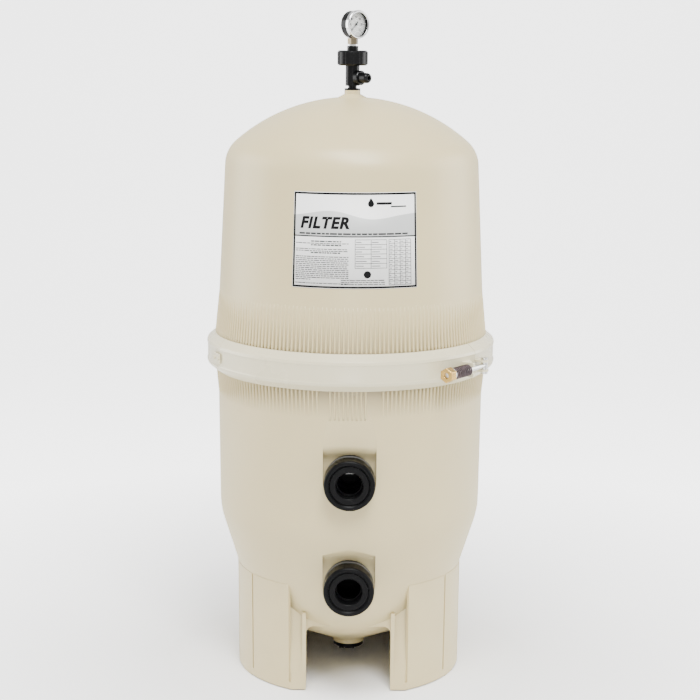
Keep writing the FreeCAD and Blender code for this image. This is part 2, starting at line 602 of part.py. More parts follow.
def build_clamp():
    """Three segments joined by two links; fork and hinge lugs of the closure are on two of them."""
    front = clamp_segment("clamp_front_band", "-clamp_left_split", "clamp_split")
    right = clamp_segment("clamp_right_band", "clamp_split", "clamp_rear_split")
    left = clamp_segment("clamp_left", "clamp_rear_split", "360 - clamp_left_split")
    keep(left)

    foot = "-(bolt_offset - clamp_band + 2.6)"
    fork = new_body("fork")
    arm = sketch_on(fork, "YZ_Plane", "fork_seat - fork_thick")
    slot = "(bolt_radius + fork_gap)"
    draw_outline(arm, [(foot, "-fork_half"), ("fork_out", "-fork_half"), ("fork_out", f"-{slot}"),
                       ("0", f"-{slot}", f"{slot} * 1.01", -1), ("0", slot), ("fork_out", slot),
                       ("fork_out", "fork_half"), (foot, "fork_half")])
    extrude(fork, arm, "fork_thick")
    web = draw_outline(sketch_on(fork, "XY_Plane", "fork_half - 3"), [
        ("fork_seat - fork_thick - 24", foot), ("fork_seat - 1", foot), ("fork_seat - 1", "3"),
        ("fork_seat - fork_thick - 1", "3")])
    extrude(fork, web, "3")
    low_web = draw_outline(sketch_on(fork, "XY_Plane", "-fork_half"), [
        ("fork_seat - fork_thick - 24", foot), ("fork_seat - 1", foot), ("fork_seat - 1", "3"),
        ("fork_seat - fork_thick - 1", "3")])
    extrude(fork, low_web, "3")
    on_bolt(fork)
    fused = document.addObject("Part::Fuse", "ClampFront")
    fused.Base, fused.Tool = front, fork
    keep(fused, "clamp_front")

    eye = "(tee_radius + eye_wall)"
    outline = [(f"-bolt_tee - {eye}", foot), (f"-bolt_tee + {eye}", foot),
               (f"-bolt_tee + {eye}", "0", f"{eye} * 1.01", 1), (f"-bolt_tee - {eye}", "0")]
    hole = ("tee_radius + 0.08", "-bolt_tee", "0")
    upper = lug_block("upper_lug", outline, "bolt_radius + 2", "bolt_radius + 6", hole)
    lower = lug_block("lower_lug", outline, "-bolt_radius - 6", "-bolt_radius - 2", hole)
    fused = document.addObject("Part::MultiFuse", "ClampRight")
    fused.Shapes = [right, upper, lower]
    keep(fused, "clamp_right")

    for label, azimuth in (("clamp_link_left", "-clamp_left_split"), ("clamp_link_rear", "clamp_rear_split")):
        link = new_body(label)
        low, high = "clamp_radius + 0.1", "clamp_radius + link_thick"
        turn_about_axis(link, rectangle(low, "split_height - link_half", high, "split_height + link_half"),
                        sweep="link_span", midplane=True)
        link.Placement = Placement(Vector(), Rotation(Vector(0, 0, 1), size(f"{azimuth} - 90")))
        studs = sketch_on(link, "YZ_Plane", "clamp_radius + 0.6")
        for side in ("", "-"):
            draw_circle(studs, "3.4", (f"{side}link_stud", "split_height"))
        extrude(link, studs, "link_thick + 1.6")
        keep(link)


def build_closure():
    """T-bolt on its upright trunnion, coil spring, washer and the long hexagon nut."""
    bolt = new_body("t_bolt")
    tee = draw_circle(sketch_on(bolt, "XY_Plane", "-tee_half"), "tee_radius", ("-bolt_tee", "0"))
    extrude(bolt, tee, "2 * tee_half")
    shank = draw_circle(sketch_on(bolt, "YZ_Plane", "-bolt_tee"), "bolt_radius")
    extrude(bolt, shank, "bolt_tee + bolt_reach")
    keep(on_bolt(bolt))

    spring = new_body("clamp_spring")
    helix_low = "fork_seat + 1 + spring_wire"
    wire = sketch_on(spring, "XZ_Plane")
    draw_circle(wire, "spring_wire", ("spring_radius", helix_low))
    coil = spring.newObject("PartDesign::AdditiveHelix", "Coils")
    coil.Profile = wire
    coil.ReferenceAxis = (wire, ["V_Axis"])
    coil.Mode = 2
    coil.setExpression("Height", bound("spring_length - 2 * spring_wire"))
    coil.setExpression("Turns", bound("spring_turns"))
    keep(spring)
    azimuth = "(bolt_azimuth - 90)"
    spring.Placement = Placement(
        Vector(size(f"bolt_offset * cos({azimuth})"), size(f"bolt_offset * sin({azimuth})"),
               size("bolt_height")),
        Rotation(Vector(0, 0, 1), size("bolt_azimuth - 180")).multiply(Rotation(Vector(0, 1, 0), 90)))

    washer_low = "fork_seat + 1 + spring_length + 0.6"
    washer = new_body("clamp_washer")
    ring = sketch_on(washer, "YZ_Plane", washer_low)
    draw_circle(ring, "nut_across / 2 - 0.5")
    draw_circle(ring, "bolt_radius + 0.3")
    extrude(washer, ring, "washer_thick")
    keep(on_bolt(washer))

    nut = new_body("clamp_nut")
    hexagon_sketch = sketch_on(nut, "YZ_Plane", f"{washer_low} + washer_thick + 0.3")
    draw_outline(hexagon_sketch, hexagon("nut_across"))
    draw_circle(hexagon_sketch, "bolt_radius + 0.08")
    extrude(nut, hexagon_sketch, "nut_thick")
    keep(on_bolt(nut))


# ---------------------------------------------------------------- air relief valve
def facing_outlet(piece, height="outlet_height"):
    """Point a turned piece's +Z along the valve's side outlet."""
    piece.Placement = Placement(
        Vector(0, 0, size(height)),
        Rotation(Vector(0, 0, 1), size("outlet_azimuth")).multiply(Rotation(Vector(1, 0, 0), 90)))
    piece.setExpression("Placement.Base.z", bound(height))
    return piece


def build_relief_valve():
    """Valve on the lid's boss: body with its centre tube, piston, knob, outlet nut and tip."""
    body = new_body("valve_barrel")
    floor, roof = "valve_base + 3", "valve_top - 3"
    turn_about_axis(body, [
        ("stem_bore", "boss_top - 6"), ("boss_bore - 0.1", "boss_top - 6"),
        ("boss_bore - 0.1", "boss_top"), ("boss_radius", "boss_top"), ("boss_radius", "boss_top + 3"),
        ("neck_radius", "boss_top + 4"), ("neck_radius", "valve_base"), ("valve_radius", "valve_base"),
        ("valve_radius", "valve_top"), ("neck_radius", "valve_top"), ("neck_radius", "knob_top"),
        ("stem_bore", "knob_top")])
    turn_about_axis(body, [("stem_tube", floor), ("barrel_bore", floor), ("barrel_bore", roof),
                           ("stem_tube", roof)], kind="Groove")
    branch = new_body("branch")
    turn_about_axis(branch, tube("3.2", "valve_radius - 3.5", "valve_radius - 2", "valve_radius + 7"))
    facing_outlet(branch)
    drill = new_body("drill")
    turn_about_axis(drill, tube("0", "3.2", "stem_tube + 1.5", "valve_radius + 8"))
    facing_outlet(drill)
    joined = document.addObject("Part::Fuse", "ValveWithBranch")
    joined.Base, joined.Tool = body, branch
    bored = document.addObject("Part::Cut", "ValveBored")
    bored.Base, bored.Tool = joined, drill
    keep(bored, "valve_body")

    gap = "running_gap / 2"
    turned("valve_piston", tube(f"stem_tube + {gap}", f"barrel_bore - {gap}",
                                "piston_low", "piston_low + piston_height"))
    knob = new_body("valve_knob")
    low, high = "valve_top + 0.3", "knob_top - 0.3"
    turn_about_axis(knob, [
        ("neck_radius + 0.05", low), ("knob_radius - 3", low), ("knob_radius", f"{low} + 3"),
        ("knob_radius", f"{high} - 3"), ("knob_radius - 3", high), ("neck_radius + 0.05", high)])
    grips = sketch_on(knob, "XY_Plane", low)
    for number in range(12):
        angle = number * 30
        draw_circle(grips, "2.6", (f"(knob_radius + 1.6) * cos({angle})", f"(knob_radius + 1.6) * sin({angle})"))
    extrude(knob, grips, "knob_height", "Pocket", reverse=True)
    keep(knob)

    nut = new_body("outlet_nut")
    turn_about_axis(nut, [("valve_radius - 3.2", "valve_radius + 1"), ("outlet_nut", "valve_radius + 1"),
                          ("outlet_nut", "valve_radius + 9.5"), ("outlet_nut - 1.5", "valve_radius + 11"),
                          ("outlet_tube + 0.2", "valve_radius + 11"), ("outlet_tube + 0.2", "valve_radius + 7.5"),
                          ("valve_radius - 3.2", "valve_radius + 7.5")])
    keep(facing_outlet(nut))
    tip = new_body("outlet_tip")
    turn_about_axis(tip, [("4", "valve_radius + 7.7"), ("outlet_tube", "valve_radius + 7.7"),
                          ("outlet_tube", "outlet_tip - 5", "5", 1), ("outlet_tube - 5", "outlet_tip"),
                          ("3.9", "outlet_tip")])
    keep(facing_outlet(tip))

    adapter = new_body("gauge_adapter")
    turn_about_axis(adapter, [("stem_bore", "knob_top"), ("adapter_radius", "knob_top"),
                              ("adapter_radius", "adapter_top"), ("stem_bore", "adapter_top")])
    keep(adapter)
    turned("thread_tape", tube("4.2", "6.2", "adapter_top", "hex_bottom"))


# ---------------------------------------------------------------- pressure gauge
def facing_gauge(piece):
    """Stand a piece drawn with +Z to the reader and +Y up at the gauge's centre."""
    turn = Rotation(Vector(0, 0, 1), size("gauge_turn")).multiply(Rotation(Vector(1, 0, 0), 90))
    piece.Placement = Placement(Vector(0, 0, size("gauge_height")), turn)
    piece.setExpression("Placement.Base.z", bound("gauge_height"))
    return piece


def build_gauge():
    """Bottom-entry dial gauge with its socket, bourdon tube, movement, dial and pointer."""
    stem = new_body("gauge_stem")
    extrude(stem, draw_outline(sketch_on(stem, "XY_Plane", "hex_bottom"), hexagon("hex_across")), "hex_height")
    post = draw_outline(sketch_on(stem, "XY_Plane", "hex_bottom"), hexagon("9", 8))
    extrude(stem, post, "gauge_height - bourdon_radius + 3 - hex_bottom")
    male = draw_circle(sketch_on(stem, "XY_Plane", "adapter_top"), "4.1")
    extrude(stem, male, "hex_bottom - adapter_top + 1")
    bore = draw_circle(sketch_on(stem, "XY_Plane", "adapter_top"), "1.5")
    extrude(stem, bore, "gauge_height - bourdon_radius - adapter_top", "Pocket", reverse=True)
    stem.Placement = Placement(Vector(), Rotation(Vector(0, 0, 1), size("gauge_turn")))
    keep(stem)

    case = new_body("gauge_case")
    inner = "(gauge_radius - gauge_wall)"
    turn_about_axis(case, [
        ("0", "-gauge_back"), ("gauge_radius - 3", "-gauge_back"), ("gauge_radius", "-gauge_back + 3"),
        ("gauge_radius", "gauge_front"), (inner, "gauge_front"), (inner, "-gauge_back + gauge_wall"),
        ("0", "-gauge_back + gauge_wall")])
    entry = draw_circle(sketch_on(case, "XZ_Plane", "gauge_radius - 8"), "4.95")
    extrude(case, entry, "20", "Pocket", reverse=True)
    keep(facing_gauge(case))

    lens = turned("gauge_lens", tube("0", "gauge_radius - 0.5", "gauge_front + 0.1", "gauge_front + 1.9"))
    bezel = turned("gauge_bezel", [
        ("gauge_radius + 0.1", "gauge_front - 4"), ("bezel_radius", "gauge_front - 4"),
        ("bezel_radius", "gauge_front + 2", "2", 1), ("bezel_radius - 2", "gauge_front + 4"),
        ("bezel_radius - 3.8", "gauge_front + 3"), ("bezel_radius - 3.8", "gauge_front + 2"),
        ("gauge_radius + 0.1", "gauge_front + 2")])
    dial = turned("gauge_dial", tube("2", f"{inner} - 0.3", "dial_height", "dial_height + 0.8"))
    frame = new_body("movement_frame")
    for low in ("-2", "3.5"):
        plate = draw_outline(sketch_on(frame, "XY_Plane", low), rectangle("-15", "-4", "5", "4"))
        draw_circle(plate, "staff_radius + 0.05")
        draw_circle(plate, "staff_radius + 0.05", ("-(pinion_radius + sector_radius + mesh_gap)", "0"))
        extrude(frame, plate, "1.2")
        if low == "-2":
            posts = sketch_on(frame, "XY_Plane", "-1.5")
            for place in (("4", "3"), ("4", "-3")):
                draw_circle(posts, "0.9", place)
            extrude(frame, posts, "5.5")
    keep(frame)
    pinion = turned("gauge_pinion", [
        ("0", "-2.4"), ("staff_radius", "-2.4"), ("staff_radius", "0.2"), ("pinion_radius", "0.2"),
        ("pinion_radius", "2.2"), ("staff_radius", "2.2"), ("staff_radius", "dial_height + 2"),
        ("0", "dial_height + 2")])
    pointer = new_body("gauge_pointer")
    needle = draw_outline(sketch_on(pointer, "XY_Plane", "dial_height + 2"), [
        ("-6.5", "-1.4"), ("-2", "-0.9"), ("pointer_length", "-0.25"), ("pointer_length", "0.25"),
        ("-2", "0.9"), ("-6.5", "1.4")])
    extrude(pointer, needle, "0.6")
    hub = draw_circle(sketch_on(pointer, "XY_Plane", "dial_height + 2"), "2.2")
    extrude(pointer, hub, "1.2")
    facing_gauge(pointer)
    pointer.Placement = pointer.Placement.multiply(Placement(Vector(), Rotation(Vector(0, 0, 1), 225)))
    keep(pointer)
    sector = new_body("gauge_sector")
    reach = "-(pinion_radius + sector_radius + mesh_gap)"
    arm = sketch_on(sector, "XY_Plane", "0.4")
    draw_outline(arm, [(f"{reach} - 2.5", "-1.2"), (f"{reach}", "-1.6"),
                       (f"{reach} + sector_radius * cos(30)", "-sector_radius * sin(30)", "sector_radius", 1),
                       (f"{reach} + sector_radius * cos(30)", "sector_radius * sin(30)"),
                       (f"{reach}", "1.6"), (f"{reach} - 2.5", "1.2")])
    extrude(sector, arm, "1.6")
    extrude(sector, draw_circle(sketch_on(sector, "XY_Plane", "-2.4"), "staff_radius", (reach, "0")), "7.4")
    keep(sector)
    coil = document.addObject("Part::Torus", "bourdon_tube")
    coil.setExpression("Radius1", bound("bourdon_radius"))
    coil.Radius2 = 1.6
    coil.Angle3 = 250
    keep(coil)
    for piece in (lens, bezel, dial, frame, pinion, sector, coil):
        facing_gauge(piece)
    turn = Placement(Vector(0, 0, -4), Rotation(Vector(0, 0, 1), -90))
    coil.Placement = coil.Placement.multiply(turn)


# ---------------------------------------------------------------- filter pack
def grid_outline(half, outer):
    """Plan outline of one curved grid, drawn along +X."""
    return [("grid_inner", f"-{half}", "grid_bow", -1), (outer, f"-{half}"),
            (outer, half, "grid_bow", 1), ("grid_inner", half)]


def make_grid(label, bottom, outer, half):
    """One grid: a curved plate with an outlet spigot on top."""
    body = new_body(label)
    plate = draw_outline(sketch_on(body, "XY_Plane", bottom), grid_outline(half, outer))
    extrude(body, plate, f"grid_top - ({bottom})")
    return body


def add_spigot(body, bore):
    """Give a grid frame its outlet spigot."""
    spigot = draw_circle(sketch_on(body, "XY_Plane", "grid_top - 2"), "spigot_radius", ("spigot_place", "spigot_bow"))
    extrude(body, spigot, "2 + spigot_rise")
    hole = draw_circle(sketch_on(body, "XY_Plane", "grid_top - 20"), bore, ("spigot_place", "spigot_bow"))
    extrude(body, hole, "20 + spigot_rise + 1", "Pocket", reverse=True)


def copies(label, source, angles):
    """Repeat one solid round the axis as a group of separate solids in one piece."""
    group = document.addObject("Part::Feature", "Group_" + label)
    group.Shape = Part.Compound([
        source.Shape.rotated(Vector(), Vector(0, 0, 1), angle) for angle in angles])
    return keep(group, label)


def build_filter_pack():
    """Seven full grids and a partial one under a manifold, with pipes, rod and locator tray."""
    step = 45
    first = -90 + step / 2
    full = [first + step * number for number in range(1, 8)]
    grid = make_grid("full_grid", "grid_bottom", "grid_outer", "(grid_thick / 2)")
    add_spigot(grid, "spigot_radius - 2.5")
    partial = make_grid("partial_grid", "grid_bottom + 140", "grid_outer - 25", "(grid_thick / 2)")
    add_spigot(partial, "spigot_radius - 2.5")
    partial.Placement = Placement(Vector(), Rotation(Vector(0, 0, 1), first))
    keep(partial)
    document.recompute()
    copies("full_grids", grid, full)

    manifold = new_body("grid_manifold")
    low, high = "grid_top + 4", "manifold_top"
    turn_about_axis(manifold, tube("rod_radius + 0.4", "manifold_radius", low, high))
    turn_about_axis(manifold, tube("rod_radius + 6", "manifold_radius - 5", f"{low} + 5", f"{high} - 5"),
                    kind="Groove")
    sockets = sketch_on(manifold, "XY_Plane", f"{low} - 1")
    for angle in [first] + full:
        turn = f"({angle} * 1 deg + atan(spigot_bow / spigot_place))"
        reach = "sqrt(spigot_place * spigot_place + spigot_bow * spigot_bow)"
        draw_circle(sockets, "spigot_radius + 0.4", (f"{reach} * cos({turn})", f"{reach} * sin({turn})"))
    draw_circle(sockets, "pipe_radius + 0.4", ("0", "-standpipe_place"))
    extrude(manifold, sockets, "7", "Pocket", reverse=True)
    keep(manifold)

    elbow = new_body("outlet_elbow")
    end = "(upper_seat - inner_boss - gasket_thick - flange_thick - 0.6)"
    drum = draw_circle(sketch_on(elbow, "XY_Plane", "upper_port - 32"), "pipe_radius + 6", ("0", "-standpipe_place"))
    extrude(elbow, drum, "80")
    branch = draw_circle(sketch_on(elbow, "XZ_Plane", "standpipe_place"), "pipe_radius + 5", ("0", "upper_port"))
    extrude(elbow, branch, f"{end} - standpipe_place")
    upright = draw_circle(sketch_on(elbow, "XY_Plane", "upper_port"), "pipe_radius + 0.2", ("0", "-standpipe_place"))
    extrude(elbow, upright, "60", "Pocket", reverse=True)
    inlet = draw_circle(sketch_on(elbow, "XZ_Plane", f"{end} + 1"), "pipe_radius - 3", ("0", "upper_port"))
    extrude(elbow, inlet, f"{end} + 1 - standpipe_place", "Pocket")
    keep(elbow)
    pipe = new_body("standpipe")
    wall = sketch_on(pipe, "XY_Plane", "upper_port + 1")
    for radius in ("pipe_radius", "pipe_radius - 3"):
        draw_circle(wall, radius, ("0", "-standpipe_place"))
    extrude(pipe, wall, f"{low} + 4 - upper_port - 1")
    keep(pipe)

    diffuser = new_body("inlet_diffuser")
    turn_about_axis(diffuser, [("27", "0"), ("31", "0"), ("31", "42"), ("0", "42"), ("0", "38"), ("27", "38")])
    slots = sketch_on(diffuser, "XY_Plane", "8")
    for angle in range(0, 360, 60):
        draw_circle(slots, "5", (f"29 * cos({angle})", f"29 * sin({angle})"))
    extrude(diffuser, slots, "24", "Pocket", reverse=True)
    start = "lower_seat - inner_boss - gasket_thick - flange_thick - 0.6"
    keep(put(diffuser, "0", f"-({start})", "lower_port", (1, 0, 0), -90))

    tray = new_body("locator_tray")
    disc = draw_circle(sketch_on(tray, "XY_Plane", "grid_bottom - 2 - tray_thick"), "tray_radius")
    draw_circle(disc, "rod_radius + 0.1")
    for number in range(8):
        angle = 45 * number
        draw_circle(disc, "18", (f"100 * cos({angle})", f"100 * sin({angle})"))
        draw_circle(disc, "22", (f"165 * cos({angle} + 22.5)", f"165 * sin({angle} + 22.5)"))
    extrude(tray, disc, "tray_thick")
    legs = sketch_on(tray, "XY_Plane", "leg_foot")
    for angle in (45, 135, 225, 315):
        draw_circle(legs, "leg_radius", (f"leg_place * cos({angle})", f"leg_place * sin({angle})"))
    extrude(tray, legs, "grid_bottom - 3 - leg_foot")
    keep(tray)

    rod_top = "manifold_top + 34"
    turned("retainer_rod", [
        ("0", "grid_bottom - 16"), ("rod_radius + 6", "grid_bottom - 16"),
        ("rod_radius + 6", "grid_bottom - 2.3 - tray_thick"), ("rod_radius", "grid_bottom - 2.3 - tray_thick"),
        ("rod_radius", rod_top), ("0", rod_top)])
    turned("retainer_washer", tube("rod_radius + 0.2", "17", "manifold_top + 0.3", "manifold_top + 2.8"))
    wing = new_body("wing_nut")
    turn_about_axis(wing, tube("rod_radius + 0.05", "10", "manifold_top + 3", "manifold_top + 17"))
    for side in ("", "-"):
        ear = sketch_on(wing, "XZ_Plane", "-2.5")
        near, far = f"{side}8", f"{side}26"
        draw_outline(ear, [(near, "manifold_top + 5"), (far, "manifold_top + 14"),
                           (far, "manifold_top + 26"), (near, "manifold_top + 15")])
        extrude(wing, ear, "5")
    keep(wing)

    bleed_top = "crown_centre + lid_crown - 24"
    bleed = new_body("air_bleed_tube")
    bore = sketch_on(bleed, "XY_Plane", "manifold_top")
    for radius in ("5", "3.5"):
        draw_circle(bore, radius, ("0", "60"))
    extrude(bleed, bore, f"{bleed_top} - manifold_top")
    keep(bleed)
    screen = new_body("air_bleed_screen")
    mesh = sketch_on(screen, "XY_Plane", f"{bleed_top} - 20")
    for radius in ("9", "5.2"):
        draw_circle(mesh, radius, ("0", "60"))
    extrude(screen, mesh, "20")
    keep(screen)


# ---------------------------------------------------------------- build and write
def check_and_write():
    """Refuse a failed object or a bad shape, then write one STEP file for each piece."""
    document.recompute()
    for item in document.Objects:
        if "Invalid" in item.State or "Error" in item.State:
            raise RuntimeError(f"{item.Name} ({item.Label}) failed: {item.getStatusString()}")
    for piece in pieces:
        if piece.Shape.isNull() or not piece.Shape.isValid() or not piece.Shape.Solids:
            raise RuntimeError(f"{piece.Label} has no valid shape")
    os.makedirs("parts", exist_ok=True)
    for piece in pieces:
        piece.Shape.exportStep(f"parts/{piece.Label}.step")
        print(f"{piece.Label}: {len(piece.Shape.Solids)} solid(s), {piece.Shape.Volume / 1000:.1f} cm3")


def main():
    """Build every piece in the order in which the tank goes together."""
    build_lower_tank()
    build_lid()
    build_ring_and_label()
    for name in ("upper", "lower"):
        build_port_pieces(name, f"{name}_port", f"{name}_seat")
    build_drain()
    build_clamp()
    build_closure()
    build_relief_valve()
    build_gauge()
    build_filter_pack()
    check_and_write()



main()
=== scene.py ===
"""Looks of the vertical-grid pool filter tank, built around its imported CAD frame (metres)."""

import json
import logging
import math
import random
from dataclasses import dataclass, field, replace
from enum import Enum
from typing import Iterable, Optional, Sequence

import bmesh
import bpy
from mathutils import Matrix, Vector


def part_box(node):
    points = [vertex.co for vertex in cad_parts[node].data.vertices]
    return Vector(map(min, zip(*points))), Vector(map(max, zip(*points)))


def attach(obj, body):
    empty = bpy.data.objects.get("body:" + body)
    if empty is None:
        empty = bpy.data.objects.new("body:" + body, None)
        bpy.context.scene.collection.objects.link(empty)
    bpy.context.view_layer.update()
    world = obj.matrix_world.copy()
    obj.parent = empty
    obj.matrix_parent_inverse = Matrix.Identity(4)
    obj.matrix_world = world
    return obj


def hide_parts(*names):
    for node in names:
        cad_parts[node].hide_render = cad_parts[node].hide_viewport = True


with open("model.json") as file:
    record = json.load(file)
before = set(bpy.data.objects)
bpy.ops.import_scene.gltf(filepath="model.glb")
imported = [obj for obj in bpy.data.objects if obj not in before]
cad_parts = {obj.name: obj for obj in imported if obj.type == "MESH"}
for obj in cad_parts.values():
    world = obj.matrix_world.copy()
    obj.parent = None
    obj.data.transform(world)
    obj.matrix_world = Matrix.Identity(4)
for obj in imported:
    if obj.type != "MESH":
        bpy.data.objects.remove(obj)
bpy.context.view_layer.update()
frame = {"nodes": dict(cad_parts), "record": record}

logging.basicConfig(level=logging.INFO, format="%(message)s")
log = logging.getLogger("filter_tank")

MM = 0.001
Colour = tuple[float, float, float]

LABEL_DIVIDER = 0.536  # height of the line between the label's fields, as a share of the label
LID_FOOT_RADIUS = 253.0 * MM
LID_SHOULDER_RADIUS = 237.3 * MM
LID_FOOT_RISE = 32.0 * MM  # from the lid's lower edge to the foot of its tapered wall
LID_SHOULDER_DROP = 138.9 * MM  # from the lid's top down to the end of that wall


# ---------------------------------------------------------------- shader helpers
class Group(Enum):
    """The shared surface effects, each one a shader node group."""

    GRAIN = "MouldGrain"
    WEATHER = "DustAndScuffs"
    BRUSHED = "BrushedLines"
    WEAVE = "ClothWeave"


class Graph:
    """A thin wrapper that adds and joins shader nodes in one node tree."""

    def __init__(self, tree: bpy.types.NodeTree) -> None:
        """Take over a node tree.

        Args:
            tree: The tree of a material or of a node group.
        """
        self.tree = tree

    def node(self, kind: str, **settings: object) -> bpy.types.Node:
        """Add a node.

        Args:
            kind: Blender's name of the node type.
            settings: Properties set on the node; inputs are given by fill().

        Returns:
            The new node.
        """
        made = self.tree.nodes.new(kind)
        for name, value in settings.items():
            setattr(made, name, value)
        return made

    def fill(self, node: bpy.types.Node, **values: object) -> bpy.types.Node:
        """Set constant inputs of a node by name, with _ for a space.

        Args:
            node: The node to set.
            values: Input names and their constants.

        Returns:
            The same node.
        """
        for name, value in values.items():
            node.inputs[name.replace("_", " ")].default_value = value
        return node

    def join(self, source: bpy.types.NodeSocket, target: bpy.types.NodeSocket) -> None:
        """Link two sockets.

        Args:
            source: The output socket.
            target: The input socket.
        """
        self.tree.links.new(source, target)

    def math(self, operation: str, first: object, second: object = 0.0) -> bpy.types.NodeSocket:
        """Add a math node.

        Args:
            operation: The node's operation.
            first: A socket or a constant.
            second: A socket or a constant.

        Returns:
            The value socket.
        """
        made = self.node("ShaderNodeMath", operation=operation)
        for socket, value in zip(made.inputs, (first, second)):
            if isinstance(value, bpy.types.NodeSocket):
                self.join(value, socket)
            else:
                socket.default_value = value
        return made.outputs[0]

    def mix(self, factor: object, first: object, second: object) -> bpy.types.NodeSocket:
        """Mix two colours.

        Args:
            factor: A socket or a constant from 0 to 1.
            first: A colour or a colour socket.
            second: A colour or a colour socket.

        Returns:
            The mixed colour socket.
        """
        made = self.node("ShaderNodeMix", data_type="RGBA")
        for index, value in ((0, factor), (6, first), (7, second)):
            if isinstance(value, bpy.types.NodeSocket):
                self.join(value, made.inputs[index])
            elif index:
                made.inputs[index].default_value = (*value[:3], 1.0)
            else:
                made.inputs[index].default_value = value
        return made.outputs[2]

    def ranged(self, value: bpy.types.NodeSocket, low: float, high: float,
               out_low: float = 0.0, out_high: float = 1.0) -> bpy.types.NodeSocket:
        """Map a value from one range to another, clamped.

        Args:
            value: The socket to map.
            low: Start of the incoming range.
            high: End of the incoming range.
            out_low: Result at low.
            out_high: Result at high.

        Returns:
            The mapped value socket.
        """
        made = self.node("ShaderNodeMapRange")
        self.join(value, made.inputs["Value"])
        self.fill(made, From_Min=low, From_Max=high, To_Min=out_low, To_Max=out_high)
        return made.outputs["Result"]

    def noise(self, scale: object, detail: float = 4.0, stretch: Colour = (1.0, 1.0, 1.0)
              ) -> bpy.types.NodeSocket:
        """Noise on object coordinates.

        Args:
            scale: Scale, as a constant or a socket.
            detail: Octaves of the noise.
            stretch: Scale of each axis before the noise.

        Returns:
            The noise value socket.
        """
        place = self.node("ShaderNodeTexCoord")
        mapping = self.fill(self.node("ShaderNodeMapping"), Scale=stretch)
        self.join(place.outputs["Object"], mapping.inputs["Vector"])
        made = self.fill(self.node("ShaderNodeTexNoise"), Detail=detail)
        self.join(mapping.outputs["Vector"], made.inputs["Vector"])
        if isinstance(scale, bpy.types.NodeSocket):
            self.join(scale, made.inputs["Scale"])
        else:
            made.inputs["Scale"].default_value = scale
        return made.outputs["Fac"]


def new_group(group: Group, inputs: dict[str, float], outputs: Sequence[str],
              colours: Sequence[str] = ()) -> tuple[Graph, bpy.types.Node, bpy.types.Node]:
    """Start a shader node group with named sockets.

    Args:
        group: Which shared effect it is.
        inputs: Names of the value inputs and their defaults.
        outputs: Names of the outputs; one that starts with "Colour" is a colour.
        colours: Names of the colour inputs.

    Returns:
        The group's graph, its input node and its output node.
    """
    tree = bpy.data.node_groups.new(group.value, "ShaderNodeTree")
    for name in colours:
        tree.interface.new_socket(name=name, in_out="INPUT", socket_type="NodeSocketColor")
    for name, value in inputs.items():
        socket = tree.interface.new_socket(name=name, in_out="INPUT", socket_type="NodeSocketFloat")
        socket.default_value = value
    for name in outputs:
        kind = "NodeSocketColor" if name.startswith("Colour") else "NodeSocketFloat"
        tree.interface.new_socket(name=name, in_out="OUTPUT", socket_type=kind)
    graph = Graph(tree)
    return graph, graph.node("NodeGroupInput"), graph.node("NodeGroupOutput")


def build_grain_group() -> None:
    """Moulded skin: fine pebble grain over slow waviness, as one height and one mask."""
    graph, source, sink = new_group(Group.GRAIN, {"Scale": 900.0, "Waviness": 0.3}, ("Height", "Mask"))
    fine = graph.noise(source.outputs["Scale"], 3.0)
    broad = graph.noise(7.0, 3.0)
    height = graph.math("ADD", graph.math("MULTIPLY", fine, 0.35),
                        graph.math("MULTIPLY", broad, source.outputs["Waviness"]))
    graph.join(height, sink.inputs["Height"])
    graph.join(graph.ranged(graph.noise(3.2, 6.0), 0.35, 0.65), sink.inputs["Mask"])


def build_weather_group() -> None:
    """Dust that settles low down, in faint patches with fine specks."""
    graph, source, sink = new_group(
        Group.WEATHER, {"Amount": 0.2, "Low Height": 0.0, "High Height": 0.35},
        ("Colour", "Roughness Shift"), ("Base", "Dust"))
    place = graph.node("ShaderNodeNewGeometry")
    split = graph.node("ShaderNodeSeparateXYZ")
    graph.join(place.outputs["Position"], split.inputs[0])
    lowness = graph.node("ShaderNodeMapRange")
    graph.join(split.outputs["Z"], lowness.inputs["Value"])
    graph.join(source.outputs["High Height"], lowness.inputs["From Min"])
    graph.join(source.outputs["Low Height"], lowness.inputs["From Max"])
    patches = graph.ranged(graph.noise(22.0, 7.0), 0.42, 0.72)
    specks = graph.ranged(graph.noise(160.0, 2.0), 0.62, 0.74)
    settled = graph.math("MULTIPLY", patches, graph.math("ADD", lowness.outputs["Result"], 0.25))
    mask = graph.math("MULTIPLY", graph.math("ADD", settled, graph.math("MULTIPLY", specks, 0.3)),
                      source.outputs["Amount"])
    graph.join(graph.mix(mask, source.outputs["Base"], source.outputs["Dust"]), sink.inputs["Colour"])
    graph.join(graph.math("MULTIPLY", mask, 0.35), sink.inputs["Roughness Shift"])


def build_brushed_group() -> None:
    """Fine lines of a turned or brushed metal, as a height and a roughness mask."""
    graph, source, sink = new_group(Group.BRUSHED, {"Scale": 300.0}, ("Height", "Mask"))
    lines = graph.noise(source.outputs["Scale"], 2.0, (1.0, 1.0, 12.0))
    cloud = graph.noise(90.0, 5.0)
    graph.join(lines, sink.inputs["Height"])
    graph.join(graph.ranged(cloud, 0.35, 0.7), sink.inputs["Mask"])


def build_weave_group() -> None:
    """Plain weave of the grid cloth, as a height and a thread mask."""
    graph, source, sink = new_group(Group.WEAVE, {"Scale": 500.0}, ("Height", "Mask"))
    place = graph.node("ShaderNodeTexCoord")
    waves = []
    for direction in ("X", "Z"):
        wave = graph.node("ShaderNodeTexWave", bands_direction=direction)
        graph.join(place.outputs["Object"], wave.inputs["Vector"])
        graph.join(source.outputs["Scale"], wave.inputs["Scale"])
        waves.append(wave.outputs["Fac"])
    woven = graph.math("MULTIPLY", *waves)
    graph.join(woven, sink.inputs["Height"])
    graph.join(graph.ranged(woven, 0.0, 0.6), sink.inputs["Mask"])


